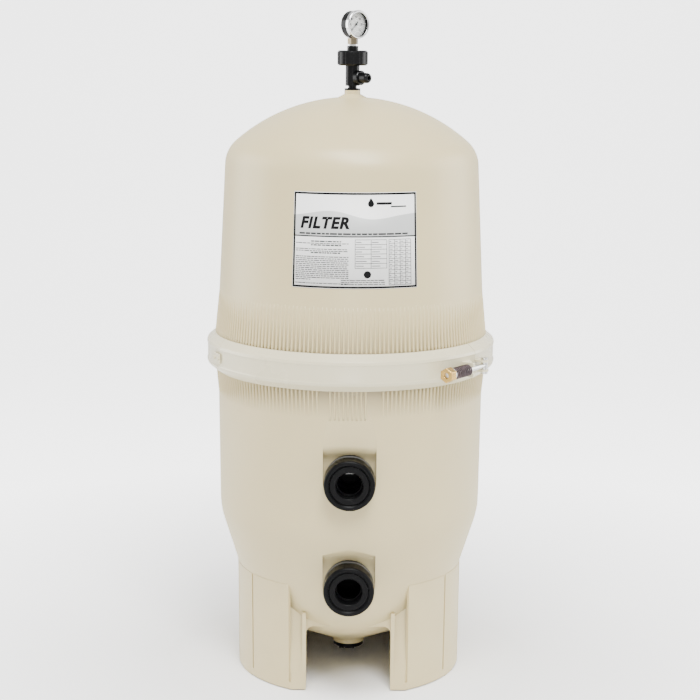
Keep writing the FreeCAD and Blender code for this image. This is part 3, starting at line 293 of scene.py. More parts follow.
def build_groups() -> None:
    """Build every shared effect once."""
    build_grain_group()
    build_weather_group()
    build_brushed_group()
    build_weave_group()


# ---------------------------------------------------------------- finishes
@dataclass(frozen=True)
class Finish:
    """A procedural finish; subclasses say how the surface is made."""

    name: str
    colour: Colour
    roughness: float = 0.45
    grain: float = 900.0
    relief: float = 0.00008
    dust: float = 0.15
    dust_colour: Colour = (0.55, 0.50, 0.42)
    spread: float = 0.06

    def start(self) -> tuple[bpy.types.Material, Graph, bpy.types.Node]:
        """Make an empty material with a Principled BSDF on its output.

        Returns:
            The material, its graph and its shader.
        """
        material = bpy.data.materials.new(self.name)
        material.use_nodes = True
        material.node_tree.nodes.clear()
        graph = Graph(material.node_tree)
        shader = graph.node("ShaderNodeBsdfPrincipled")
        output = graph.node("ShaderNodeOutputMaterial")
        graph.join(shader.outputs["BSDF"], output.inputs["Surface"])
        return material, graph, shader

    def place(self, graph: Graph, group: Group, **values: object) -> bpy.types.Node:
        """Place a shared effect in a material.

        Args:
            graph: The material's graph.
            group: The effect.
            values: Constant inputs of the group.

        Returns:
            The group node.
        """
        node = graph.node("ShaderNodeGroup", node_tree=bpy.data.node_groups[group.value])
        return graph.fill(node, **values)

    def shade(self, graph: Graph, mask: bpy.types.NodeSocket) -> bpy.types.NodeSocket:
        """Vary the base colour a little, darker and lighter, by a mask.

        Args:
            graph: The material's graph.
            mask: Where the lighter tone goes.

        Returns:
            The varied colour socket.
        """
        darker = tuple(channel * (1.0 - self.spread) for channel in self.colour)
        lighter = tuple(min(1.0, channel * (1.0 + self.spread)) for channel in self.colour)
        return graph.mix(mask, darker, lighter)

    def weather(self, graph: Graph, shader: bpy.types.Node, colour: bpy.types.NodeSocket,
                mask: bpy.types.NodeSocket) -> None:
        """Lay dust over a colour and drive the base colour and roughness.

        Args:
            graph: The material's graph.
            shader: The Principled BSDF.
            colour: The clean colour.
            mask: A slow mask that also varies the roughness.
        """
        dust = self.place(graph, Group.WEATHER, Amount=self.dust, Dust=(*self.dust_colour, 1.0))
        graph.join(colour, dust.inputs["Base"])
        graph.join(dust.outputs["Colour"], shader.inputs["Base Color"])
        base = graph.ranged(mask, 0.0, 1.0, self.roughness * 0.88, self.roughness * 1.12)
        graph.join(graph.math("ADD", base, dust.outputs["Roughness Shift"]), shader.inputs["Roughness"])

    def bump(self, graph: Graph, shader: bpy.types.Node, height: bpy.types.NodeSocket) -> None:
        """Feed a height to the shader's normal at the finish's relief.

        Args:
            graph: The material's graph.
            shader: The Principled BSDF.
            height: The height socket.
        """
        bump = graph.fill(graph.node("ShaderNodeBump"), Strength=0.6, Distance=self.relief)
        graph.join(height, bump.inputs["Height"])
        graph.join(bump.outputs["Normal"], shader.inputs["Normal"])

    def build(self) -> bpy.types.Material:
        """Build the material.

        Returns:
            The finished material.
        """
        raise NotImplementedError


@dataclass(frozen=True)
class MouldedPlastic(Finish):
    """Moulded or painted surface with a pebble grain; coat gives a gloss skin."""

    coat: float = 0.0
    waviness: float = 0.3
    specular: float = 0.5
    bleed: float = 0.0
    # height of a band of painted shade on the wall between the ribs; None paints none
    rib_shade_height: Optional[float] = None

    def paint_rib_shade(self, graph: Graph, tone: bpy.types.NodeSocket) -> bpy.types.NodeSocket:
        """Paint shade on the wall close to a height: a darker band that stands for the shade between the
        ribs.

        Args:
            graph: The material's graph.
            tone: The clean colour.

        Returns:
            The colour with the painted shade laid over it.
        """
        split = graph.node("ShaderNodeSeparateXYZ")
        graph.join(graph.node("ShaderNodeNewGeometry").outputs["Position"], split.inputs[0])
        away = graph.math("ABSOLUTE", graph.math("SUBTRACT", split.outputs["Z"], self.rib_shade_height))
        # painted shade: dark brown, full strength within 34 mm of the height and gone by 85 mm
        painted_shade = graph.ranged(away, 0.034, 0.085, 0.62, 0.0)
        return graph.mix(painted_shade, tone, (0.20, 0.155, 0.09))

    def build(self) -> bpy.types.Material:
        """Build the moulded material.

        Returns:
            The finished material.
        """
        material, graph, shader = self.start()
        grain = self.place(graph, Group.GRAIN, Scale=self.grain, Waviness=self.waviness)
        tone = self.shade(graph, grain.outputs["Mask"])
        # a band of painted shade between the ribs, where a height for it is given
        if self.rib_shade_height is not None:
            tone = self.paint_rib_shade(graph, tone)
        self.weather(graph, shader, tone, grain.outputs["Mask"])
        self.bump(graph, shader, grain.outputs["Height"])
        graph.fill(shader, Coat_Weight=self.coat, Coat_Roughness=0.12, Specular_IOR_Level=self.specular,
                   Subsurface_Weight=self.bleed, Subsurface_Scale=0.004)
        return material


@dataclass(frozen=True)
class Metal(Finish):
    """Turned, brushed or plated metal."""

    def build(self) -> bpy.types.Material:
        """Build the metal material.

        Returns:
            The finished material.
        """
        material, graph, shader = self.start()
        lines = self.place(graph, Group.BRUSHED, Scale=self.grain)
        self.weather(graph, shader, self.shade(graph, lines.outputs["Mask"]), lines.outputs["Mask"])
        self.bump(graph, shader, lines.outputs["Height"])
        graph.fill(shader, Metallic=1.0)
        return material


@dataclass(frozen=True)
class Cloth(Finish):
    """Woven filter cloth."""

    def build(self) -> bpy.types.Material:
        """Build the cloth material.

        Returns:
            The finished material.
        """
        material, graph, shader = self.start()
        weave = self.place(graph, Group.WEAVE, Scale=self.grain)
        self.weather(graph, shader, self.shade(graph, weave.outputs["Mask"]), weave.outputs["Mask"])
        self.bump(graph, shader, weave.outputs["Height"])
        graph.fill(shader, Sheen_Weight=0.3)
        return material


@dataclass(frozen=True)
class ClearWindow(Finish):
    """Clear gauge window, slightly smeared."""

    def build(self) -> bpy.types.Material:
        """Build the window material.

        Returns:
            The finished material.
        """
        material, graph, shader = self.start()
        smear = graph.ranged(graph.noise(120.0, 4.0), 0.4, 0.8, self.roughness, self.roughness + 0.06)
        graph.join(smear, shader.inputs["Roughness"])
        graph.fill(shader, Base_Color=(*self.colour, 1.0), Transmission_Weight=1.0, IOR=1.15, Alpha=0.25)
        return material


@dataclass(frozen=True)
class WavePrint(Finish):
    """Label film: pale upper field with a soft grey wave band, whiter lower field."""

    divider: float = 0.0
    band: float = 0.0

    def build(self) -> bpy.types.Material:
        """Build the printed film.

        Returns:
            The finished material.
        """
        material, graph, shader = self.start()
        place = graph.node("ShaderNodeNewGeometry")
        split = graph.node("ShaderNodeSeparateXYZ")
        graph.join(place.outputs["Position"], split.inputs[0])
        waves = []
        for pace, reach in ((32.0, 0.0060), (57.0, 0.0018)):
            swing = graph.math("SINE", graph.math("MULTIPLY", split.outputs["X"], pace))
            waves.append(graph.math("MULTIPLY", swing, reach))
        height = graph.math("ADD", split.outputs["Z"], graph.math("ADD", *waves))
        band = graph.ranged(graph.math("SUBTRACT", self.band, height), 0.0, 0.0006)
        upper = graph.ranged(split.outputs["Z"], self.divider - 0.0002, self.divider + 0.0002)
        tone = graph.math("MULTIPLY", band, upper)
        grain = self.place(graph, Group.GRAIN, Scale=self.grain, Waviness=0.1)
        paper = self.shade(graph, grain.outputs["Mask"])
        inked = graph.mix(graph.math("MULTIPLY", tone, 0.85), paper, (0.36, 0.37, 0.36))
        self.weather(graph, shader, inked, grain.outputs["Mask"])
        self.bump(graph, shader, grain.outputs["Height"])
        return material


BLACK = (0.003, 0.003, 0.0033)
FINISHES: dict[str, Finish] = {
    "tank_plastic": MouldedPlastic("tank_plastic", (0.555, 0.465, 0.25), 0.36, 620.0, 0.00022, 0.16,
                                   (0.46, 0.37, 0.20), 0.028, waviness=0.8, bleed=0.04),
    # tank_wall is tank_plastic plus a band of painted shade between the ribs beside the clamp
    "tank_wall": MouldedPlastic("tank_wall", (0.555, 0.465, 0.25), 0.36, 620.0, 0.00022, 0.16,
                                (0.46, 0.37, 0.20), 0.028, waviness=0.8, bleed=0.04, rib_shade_height=0.62),
    "clamp_paint": MouldedPlastic("clamp_paint", (0.62, 0.565, 0.385), 0.26, 500.0, 0.00012, 0.12,
                                  (0.50, 0.42, 0.28), 0.03, coat=0.3, waviness=0.5),
    "label_print": WavePrint("label_print", (0.80, 0.80, 0.78), 0.4, 1200.0, 0.00002, 0.05,
                             (0.6, 0.57, 0.5), 0.02),
    "black_plastic": MouldedPlastic("black_plastic", (0.0035, 0.0035, 0.0037), 0.36, 1500.0, 0.00012, 0.02,
                                    (0.09, 0.085, 0.075), 0.25, waviness=0.4, specular=0.07),
    "gloss_black": MouldedPlastic("gloss_black", BLACK, 0.24, 1100.0, 0.00005, 0.02,
                                  (0.1, 0.095, 0.085), 0.2, coat=0.10, specular=0.12),
    "grey_plastic": MouldedPlastic("grey_plastic", (0.10, 0.10, 0.095), 0.5, 1200.0, 0.0001, 0.2,
                                   (0.35, 0.32, 0.27), 0.12),
    "steel": Metal("steel", (0.66, 0.65, 0.62), 0.28, 700.0, 0.00003, 0.12, (0.4, 0.36, 0.3), 0.08),
    "spring_steel": Metal("spring_steel", (0.085, 0.065, 0.07), 0.42, 900.0, 0.00003, 0.25,
                          (0.2, 0.13, 0.09), 0.2),
    "brass": Metal("brass", (0.60, 0.38, 0.11), 0.26, 800.0, 0.00003, 0.12, (0.35, 0.27, 0.14), 0.10),
    "worn_brass": Metal("worn_brass", (0.20, 0.165, 0.11), 0.34, 800.0, 0.00003, 0.2,
                        (0.25, 0.2, 0.13), 0.12),
    "rubber": MouldedPlastic("rubber", (0.02, 0.02, 0.02), 0.7, 1500.0, 0.00015, 0.2,
                             (0.2, 0.19, 0.17), 0.2),
    "tape": MouldedPlastic("tape", (0.82, 0.82, 0.81), 0.55, 1800.0, 0.0002, 0.1,
                           (0.5, 0.48, 0.44), 0.05),
    "chrome": Metal("chrome", (0.80, 0.80, 0.80), 0.10, 500.0, 0.00001, 0.05, (0.4, 0.38, 0.35), 0.03),
    "glass": ClearWindow("glass", (0.98, 0.99, 0.99), 0.02),
    "dial_print": MouldedPlastic("dial_print", (0.62, 0.62, 0.60), 0.4, 1500.0, 0.00001, 0.02,
                                 (0.6, 0.58, 0.5), 0.02),
    "needle": MouldedPlastic("needle", BLACK, 0.4, 1500.0, 0.00001, 0.03, (0.2, 0.2, 0.2), 0.2),
    "grid_cloth": Cloth("grid_cloth", (0.78, 0.78, 0.74), 0.8, 420.0, 0.0003, 0.3,
                        (0.5, 0.44, 0.33), 0.10),
    "white_plastic": MouldedPlastic("white_plastic", (0.78, 0.78, 0.74), 0.45, 900.0, 0.0001, 0.15,
                                    (0.5, 0.46, 0.38), 0.03),
    "ink": MouldedPlastic("ink", (0.004, 0.004, 0.0045), 0.45, 1500.0, 0.00001, 0.01,
                          (0.2, 0.2, 0.2), 0.2, specular=0.1),
    "grey_ink": MouldedPlastic("grey_ink", (0.04, 0.04, 0.04), 0.45, 1500.0, 0.00001, 0.02,
                               (0.3, 0.3, 0.3), 0.1, specular=0.1),
}


@dataclass
class Palette:
    """Builds each finish once and hands it out by its slot name."""

    made: dict[str, bpy.types.Material] = field(default_factory=dict)

    def get(self, name: str) -> bpy.types.Material:
        """Give the material of a finish, building it at first use.

        Args:
            name: A key of FINISHES.

        Returns:
            The material.
        """
        if name not in self.made:
            self.made[name] = FINISHES[name].build()
        return self.made[name]

    def dress(self, piece: bpy.types.Object, name: str) -> bpy.types.Object:
        """Put one finish on a whole piece.

        Args:
            piece: A mesh object.
            name: A key of FINISHES.

        Returns:
            The same object.
        """
        if piece.data.materials:
            for index in range(len(piece.data.materials)):
                piece.data.materials[index] = self.get(name)
        else:
            piece.data.materials.append(self.get(name))
        return piece


# ---------------------------------------------------------------- mesh helpers
def mesh_piece(name: str, points: Sequence[Vector], faces: Sequence[Sequence[int]],
               smooth: bool = True) -> bpy.types.Object:
    """Make a mesh object from points and faces.

    Args:
        name: The piece's name.
        points: Vertex positions in metres.
        faces: Vertex indices of each face.
        smooth: Whether the faces are shaded smooth.

    Returns:
        The new object, linked to the scene.
    """
    mesh = bpy.data.meshes.new(name)
    mesh.from_pydata([tuple(point) for point in points], [], [tuple(face) for face in faces])
    builder = bmesh.new()
    builder.from_mesh(mesh)
    bmesh.ops.recalc_face_normals(builder, faces=builder.faces)
    builder.to_mesh(mesh)
    builder.free()
    if smooth:
        mesh.shade_smooth()
    else:
        mesh.shade_flat()
    piece = bpy.data.objects.new(name, mesh)
    bpy.context.scene.collection.objects.link(piece)
    return piece


def bar_faces(first: int, columns: int) -> list[tuple[int, ...]]:
    """Skin a bar made of rings of four points, closed at both ends.

    Args:
        first: Index of the first ring's first point.
        columns: Number of stretches between rings.

    Returns:
        The faces.
    """
    faces: list[tuple[int, ...]] = []
    for column in range(columns):
        corner = first + 4 * column
        for side in range(4):
            following = (side + 1) % 4
            faces.append((corner + side, corner + following, corner + 4 + following, corner + 4 + side))
    last = first + 4 * columns
    return faces + [tuple(range(first, first + 4)), tuple(range(last, last + 4))]


def text_mesh(text: str, size: float, embolden: float, thick: float, **settings: object) -> bpy.types.Mesh:
    """Turn a word into a mesh that lies in its own plane.

    Args:
        text: The word.
        size: Font size in metres.
        embolden: How far the outlines grow, in metres.
        thick: Half the thickness in metres.
        settings: Other properties of the text.

    Returns:
        The mesh.
    """
    curve = bpy.data.curves.new("lettering", "FONT")
    curve.body, curve.size, curve.offset, curve.extrude = text, size, embolden, thick
    for name, value in settings.items():
        setattr(curve, name, value)
    holder = bpy.data.objects.new("lettering", curve)
    bpy.context.scene.collection.objects.link(holder)
    bpy.context.view_layer.update()
    evaluated = holder.evaluated_get(bpy.context.evaluated_depsgraph_get())
    mesh = bpy.data.meshes.new_from_object(evaluated)
    bpy.data.objects.remove(holder)
    return mesh


def polar(radius: float, azimuth: float, height: float) -> Vector:
    """Point at a radius, an azimuth from the front (towards +X) and a height.

    Args:
        radius: Distance from the tank's axis.
        azimuth: Angle in radians from -Y towards +X.
        height: Height above the floor.

    Returns:
        The point.
    """
    return Vector((radius * math.sin(azimuth), -radius * math.cos(azimuth), height))


def hang(piece: bpy.types.Object, body: str, slot: str, palette: Palette, finish: str = "") -> None:
    """Dress a new piece and let it ride on a body.

    Args:
        piece: The new piece.
        body: The CAD body that carries it.
        slot: The record's material slot.
        palette: The finishes.
        finish: The finish's name where it isn't the slot's own.
    """
    palette.dress(piece, finish or slot)
    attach(piece, body)
    log.info("%s rides on %s", piece.name, body)


# ---------------------------------------------------------------- carried-over CAD pieces
@dataclass
class CadPieces:
    """Dresses every CAD node and rounds the edges of those that show."""

    palette: Palette
    # the lid and the lower tank take tank_wall, which carries painted shade between the ribs
    finishes: dict[str, str] = field(default_factory=lambda: {
        "gauge_stem": "worn_brass", "upper_tank_lid": "tank_wall", "lower_tank": "tank_wall"})
    edge_sizes: dict[str, float] = field(default_factory=lambda: {
        "upper_union_nut": 1.2, "lower_union_nut": 1.2, "upper_union_tail": 0.6,
        "lower_union_tail": 0.6, "upper_lock_nut": 0.8, "lower_lock_nut": 0.8, "drain_plug": 1.0,
        "clamp_front": 1.1, "clamp_right": 1.1, "clamp_left": 1.1, "clamp_link_left": 0.6,
        "clamp_link_rear": 0.6, "t_bolt": 0.7, "clamp_nut": 0.9, "clamp_washer": 0.3,
        "valve_body": 0.6, "valve_knob": 0.8, "outlet_nut": 0.6, "outlet_tip": 0.5,
        "gauge_adapter": 0.5, "gauge_stem": 0.5, "gauge_case": 0.6, "gauge_bezel": 0.3})

    def dress_all(self) -> None:
        """Give each CAD node the finish of its slot."""
        slots = {row["node"]: row["material_slot"] for row in frame["record"]["subparts"]}
        for node, piece in frame["nodes"].items():
            self.palette.dress(piece, self.finishes.get(node, slots[node]))
            log.info("%s: %s", node, slots[node])

    def round_edges(self) -> None:
        """Add a weld, a small bevel and weighted normals to the pieces that show."""
        for node, width in self.edge_sizes.items():
            piece = frame["nodes"][node]
            weld = piece.modifiers.new("weld", "WELD")
            weld.merge_threshold = 2e-6
            bevel = piece.modifiers.new("edge", "BEVEL")
            bevel.width = width * MM
            bevel.segments = 3
            bevel.limit_method = "ANGLE"
            bevel.angle_limit = math.radians(32)
            bevel.use_clamp_overlap = True
            bevel.harden_normals = True
            normals = piece.modifiers.new("normals", "WEIGHTED_NORMAL")
            normals.keep_sharp = True


# ---------------------------------------------------------------- ribs beside the clamp
@dataclass
class RibRing:
    """A ring of fine upright ribs that fade out along the tank wall."""

    name: str
    palette: Palette
    root_height: float
    tip_height: float
    root_radius: float
    tip_radius: float
    depth: float = 5.0 * MM
    width: float = 5.3 * MM
    count: int = 200
    plain: tuple[tuple[float, float], ...] = ()
    channel: Optional[float] = None
    channel_half: float = 8.6
    stations: int = 9

    def section(self, share: float) -> list[tuple[float, float]]:
        """Half-round section of a rib at a share of its length.

        Args:
            share: 0 at the root and 1 at the tip.

        Returns:
            Pairs of sideways offset and height over the wall.
        """
        fade = (1.0 - share) ** 0.9
        depth = self.depth * fade
        width = self.width * (0.62 + 0.38 * fade)
        sink = 0.7 * MM
        return [(-width / 2, -sink), (-width * 0.40, depth * 0.45), (-width * 0.18, depth * 0.93),
                (width * 0.18, depth * 0.93), (width * 0.40, depth * 0.45), (width / 2, -sink)]

    def wall_at(self, azimuth: float, share: float) -> float:
        """Radius of the wall under a rib; on the flat front channel it follows the flat.

        Args:
            azimuth: Where the rib stands, in radians from the front.
            share: 0 at the root and 1 at the tip.

        Returns:
            The radius in metres.
        """
        if self.channel and abs(math.degrees(azimuth)) < self.channel_half:
            return self.channel / math.cos(azimuth)
        return self.root_radius + (self.tip_radius - self.root_radius) * share

    def rib(self, azimuth: float, points: list[Vector], faces: list[tuple[int, ...]]) -> None:
        """Add one rib to a mesh that is being gathered.

        Args:
            azimuth: Where the rib stands, in radians from the front.
            points: Vertices so far.
            faces: Faces so far.
        """
        first = len(points)
        rows = 6
        for station in range(self.stations + 1):
            share = station / self.stations
            height = self.root_height + (self.tip_height - self.root_height) * share
            wall = self.wall_at(azimuth, share)
            for sideways, lift in self.section(share):
                points.append(polar(wall + lift, azimuth + sideways / wall, height))
        for station in range(self.stations):
            for column in range(rows - 1):
                corner = first + station * rows + column
                faces.append((corner, corner + 1, corner + rows + 1, corner + rows))
        faces.append(tuple(range(first, first + rows)))
        last = first + self.stations * rows
        faces.append(tuple(range(last, last + rows)))
        for station in range(self.stations):
            corner = first + station * rows
            faces.append((corner, corner + rows, corner + 2 * rows - 1, corner + rows - 1))

    def is_plain(self, degrees: float) -> bool:
        """Tell whether an azimuth lies on a stretch with no ribs.

        Args:
            degrees: The azimuth from the front.

        Returns:
            True on a plain stretch.
        """
        return any(low <= degrees <= high for low, high in self.plain)

    def build(self) -> bpy.types.Object:
        """Build the whole ring.

        Returns:
            The ring as one piece.
        """
        points: list[Vector] = []
        faces: list[tuple[int, ...]] = []
        for number in range(self.count):
            degrees = (number + 0.5) * 360.0 / self.count - 180.0
            if not self.is_plain(degrees):
                self.rib(math.radians(degrees), points, faces)
        piece = mesh_piece(self.name, points, faces)
        hang(piece, "tank", "tank_plastic", self.palette)
        return piece


# ---------------------------------------------------------------- printed label
@dataclass
class LabelPrint:
    """The film on the lid and its print, wrapped on the tapered wall.

    Places on the print are millimetres from the label's lower left corner.
    """

    palette: Palette
    low: float
    high: float
    azimuth: float
    half_angle: float
    radius_low: float
    radius_high: float
    sheet: float = 0.45 * MM
    ink_lift: float = 0.18 * MM

    @property
    def width(self) -> float:
        """Width of the label along the wall.

        Returns:
            The width in metres.
        """
        return 2 * self.half_angle * (self.radius_low + self.radius_high) / 2

    @property
    def height(self) -> float:
        """Height of the label.

        Returns:
            The height in metres.
        """
        return self.high - self.low

    def wrap(self, across: float, up: float, lift: float) -> Vector:
        """Wrap a place on the print onto the wall.

        Args:
            across: Metres from the label's left edge.
            up: Metres from its lower edge.
            lift: Metres out from the wall.

        Returns:
            The point.
        """
        share = up / self.height
        radius = self.radius_low + (self.radius_high - self.radius_low) * share + lift
        angle = self.azimuth - self.half_angle + 2 * self.half_angle * across / self.width
        return polar(radius, angle, self.low + up)

    def panel(self, left: float, bottom: float, right: float, top: float, lift: float,
              points: list[Vector], faces: list[tuple[int, ...]], step: float = 4 * MM) -> None:
        """Add a curved rectangle with its edge turned down to the film.

        Args:
            left: Left side in metres.
            bottom: Lower side in metres.
            right: Right side in metres.
            top: Upper side in metres.
            lift: How far its face stands out.
            points: Vertices so far.
            faces: Faces so far.
            step: Longest face across.
        """
        columns = max(1, math.ceil((right - left) / step))
        first = len(points)
        for column in range(columns + 1):
            across = left + (right - left) * column / columns
            points += [self.wrap(across, bottom, lift), self.wrap(across, top, lift),
                       self.wrap(across, top, lift - 0.12 * MM), self.wrap(across, bottom, lift - 0.12 * MM)]
        faces += bar_faces(first, columns)

    def build_film(self) -> None:
        """Build the film itself, which stands for the CAD label."""
        points: list[Vector] = []
        columns, thick = 72, self.sheet
        for column in range(columns + 1):
            across = self.width * column / columns
            points += [self.wrap(across, 0, thick), self.wrap(across, self.height, thick),
                       self.wrap(across, self.height, 0.1 * MM), self.wrap(across, 0, 0.1 * MM)]
        film = mesh_piece("label_film", points, bar_faces(0, columns), smooth=False)
        for polygon in film.data.polygons:
            polygon.use_smooth = polygon.area > 4e-5
        hang(film, "tank", "label_print", self.palette)
        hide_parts("label")

    def printed(self, name: str, boxes: Iterable[tuple[float, float, float, float]], ink: str) -> None:
        """Print a set of rectangles, given in millimetres, as one piece.

        Args:
            name: The piece's name.
            boxes: Left, bottom, right and top of each rectangle.
            ink: The ink's finish.
        """
        points: list[Vector] = []
        faces: list[tuple[int, ...]] = []
        for box in boxes:
            self.panel(*(side * MM for side in box), self.sheet + self.ink_lift, points, faces)
        piece = mesh_piece(name, points, faces, smooth=False)
        hang(piece, "tank", "label_print", self.palette, ink)

    def frame_boxes(self) -> list[tuple[float, float, float, float]]:
        """Lay out the outer border and the divider.

        Returns:
            Left, bottom, right and top of each rectangle, in millimetres.
        """
        wide, tall, line = self.width / MM, self.height / MM, 3.3
        inset = 0.8
        divider = tall * LABEL_DIVIDER
        return [(inset, inset, wide - inset, inset + line),
                (inset, tall - inset - line, wide - inset, tall - inset),
                (inset, inset + line, inset + line, tall - inset - line),
                (wide - inset - line, inset + line, wide - inset, tall - inset - line),
                (inset + line, divider, wide - inset - line, divider + 2.0)]

    def line_boxes(self) -> list[tuple[float, float, float, float]]:
        """Lay out broken bars that stand for lines of small print.

        Returns:
            Left, bottom, right and top of each bar, in millimetres.
        """
        draw = random.Random(7)
        tall = self.height / MM
        boxes = []
        rows = [(8 + 3.35 * row) for row in range(23)]
        for number, bottom in enumerate(rows):
            if number in (1, 15, 19):
                continue
            heading = number in (16, 20, 22)
            left, right = (34, 88) if heading else (6, 101)
            if number == 2:
                left, right = 6, 34
            thick = 2.1 if heading else 1.35
            across = left
            while across < right - 2:
                word = draw.uniform(2.5, 9.0)
                end = min(across + word, right)
                if end - across > 1.2:
                    boxes.append((across, bottom, end, bottom + thick))
                across = end + draw.uniform(0.9, 1.5)
        for number in range(3):
            across = 88
            while across < 162:
                end = min(across + draw.uniform(3, 10), 165)
                boxes.append((across, 7 + 3.6 * number, end, 8.3 + 3.6 * number))
                across = end + 1.2
        title_line = tall * LABEL_DIVIDER + 4.2
        across = 12.0
        while across < 208:
            end = min(across + draw.uniform(5, 14), 211)
            boxes.append((across, title_line, end, title_line + 2.9))
            across = end + 1.6
        return boxes

    def table_boxes(self) -> list[tuple[float, float, float, float]]:
        """Lay out the rules and cell marks of the two small tables on the right.

        Returns:
            Left, bottom, right and top of each bar, in millimetres.
        """
        draw = random.Random(11)
        boxes = []
        rule = 0.8
        for left, right, bottom, top, columns, rows in ((112, 168, 36, 86, 2, 6), (172, 213, 6, 86, 4, 12)):
            for row in range(rows + 1):
                height = bottom + (top - bottom) * row / rows
                boxes.append((left, height, right, height + rule))
            for column in range(columns + 1):
                across = left + (right - left) * column / columns
                boxes.append((across, bottom, across + rule, top))
            for row in range(rows):
                for column in range(columns):
                    width = (right - left) / columns
                    start = left + width * column + 1.6
                    middle = bottom + (top - bottom) * (row + 0.5) / rows
                    boxes.append((start, middle - 0.5, start + draw.uniform(0.35, 0.8) * (width - 3),
                                  middle + 0.55))
        return boxes

    def lettering(self, text: str, size: float, left: float, bottom: float, ink: str, name: str,
                  slant: float = 0.22) -> None:
        """Set a plain generic word in slanted capitals and wrap it on the label.

        Args:
            text: The word.
            size: Height of the letters in millimetres.
            left: Left end in millimetres.
            bottom: Baseline in millimetres.
            ink: The ink's finish.
            name: The piece's name.
            slant: Sideways lean per unit of height.
        """
        thick = 0.06 * MM
        mesh = text_mesh(text, size * MM * 1.38, 1.15 * MM, thick, space_character=1.1, resolution_u=4)
        for vertex in mesh.vertices:
            x, y, z = vertex.co
            vertex.co = self.wrap(left * MM + x + slant * y, bottom * MM + y,
                                  self.sheet + self.ink_lift - thick + z)
        mesh.name = name
        piece = bpy.data.objects.new(name, mesh)
        bpy.context.scene.collection.objects.link(piece)
        hang(piece, "tank", "label_print", self.palette, ink)

    def build_marks(self) -> None:
        """A plain drop beside two bars at the top, and a round tick mark low down."""
        points: list[Vector] = []
        faces: list[tuple[int, ...]] = []
        tall = self.height / MM
        for centre, radius, drop in (((140.0, tall - 20.0), 5.6, True), ((134.0, 25.0), 6.5, False)):
            first = len(points)
            turns = 40
            for lift in (self.sheet + self.ink_lift, self.sheet):
                for step in range(turns):
                    angle = 2 * math.pi * step / turns
                    stretch = 1.0 + (0.75 * max(0.0, math.sin(angle)) ** 6 if drop else 0.0)
                    points.append(self.wrap((centre[0] + radius * math.cos(angle)) * MM,
                                            (centre[1] + radius * stretch * math.sin(angle)) * MM, lift))
            faces.append(tuple(range(first, first + turns)))
            for step in range(turns):
                following = (step + 1) % turns
                faces.append((first + step, first + following,
                              first + turns + following, first + turns + step))
        piece = mesh_piece("label_marks", points, faces, smooth=False)
        hang(piece, "tank", "label_print", self.palette, "ink")
        bars = [(150, tall - 21.5, 178, tall - 17.0), (176, tall - 26.0, 205, tall - 23.8)]
        self.printed("label_mark_bars", bars, "ink")

    def build(self) -> None:
        """Build the film and all its print."""
        self.build_film()
        self.printed("label_border", self.frame_boxes(), "ink")
        self.printed("label_small_print", self.line_boxes(), "grey_ink")
        self.printed("label_tables", self.table_boxes(), "grey_ink")
        self.lettering("FILTER", 20.0, 13.0, self.height / MM * LABEL_DIVIDER + 15.5, "ink", "label_title")
        self.build_marks()


# ---------------------------------------------------------------- gauge print
@dataclass
class GaugeFace:
    """Scale ticks and figures on the dial, in the dial's own plane."""

    palette: Palette
    centre: Vector
    facing: Vector
    radius: float
    lift: float
    start: float = math.radians(225)
    sweep: float = math.radians(270)
    steps: int = 30

    def place(self, x: float, y: float, z: float) -> Vector:
        """Put a point of the dial's plane into the object's frame.

        Args:
            x: Metres to the reader's right.
            y: Metres up.
            z: Metres towards the reader over the dial.

        Returns:
            The point.
        """
        right = Vector((0, 0, 1)).cross(self.facing)
        return self.centre + right * x + Vector((0, 0, y)) + self.facing * (self.lift + z)

    def build_ticks(self) -> None:
        """Long and short ticks."""
        points: list[Vector] = []
        faces: list[tuple[int, ...]] = []
        thick = 0.08 * MM
        for step in range(self.steps + 1):
            angle = self.start - self.sweep * step / self.steps
            major = step % 5 == 0
            inner = self.radius * (0.80 if major else 0.88)
            outer, half = self.radius * 0.95, (0.6 if major else 0.3) * MM
            across, along = (-math.sin(angle), math.cos(angle)), (math.cos(angle), math.sin(angle))
            first = len(points)
            for z in (thick, 0.0):
                for reach, side in ((inner, -half), (outer, -half), (outer, half), (inner, half)):
                    points.append(self.place(along[0] * reach + across[0] * side,
                                             along[1] * reach + across[1] * side, z))
            faces += [(first, first + 1, first + 2, first + 3)]
            faces += [(first + side, first + (side + 1) % 4, first + 4 + (side + 1) % 4, first + 4 + side)
                      for side in range(4)]
        piece = mesh_piece("gauge_scale", points, faces, smooth=False)
        hang(piece, "tank", "dial_print", self.palette, "ink")

    def build_figures(self) -> None:
        """The scale's plain numbers, one piece each."""
        for number in range(7):
            angle = self.start - self.sweep * number / 6
            mesh = text_mesh(str(number * 10), 5.6 * MM, 0.2 * MM, 0.05 * MM,
                             align_x="CENTER", align_y="CENTER")
            reach = self.radius * 0.60
            for vertex in mesh.vertices:
                x, y, z = vertex.co
                vertex.co = self.place(x + reach * math.cos(angle), y + reach * math.sin(angle),
                                       z + 0.03 * MM)
            piece = bpy.data.objects.new(f"gauge_figure_{number}", mesh)
            bpy.context.scene.collection.objects.link(piece)
            hang(piece, "tank", "dial_print", self.palette, "ink")

    def build(self) -> None:
        """Build the dial's print."""
        self.build_ticks()
        self.build_figures()


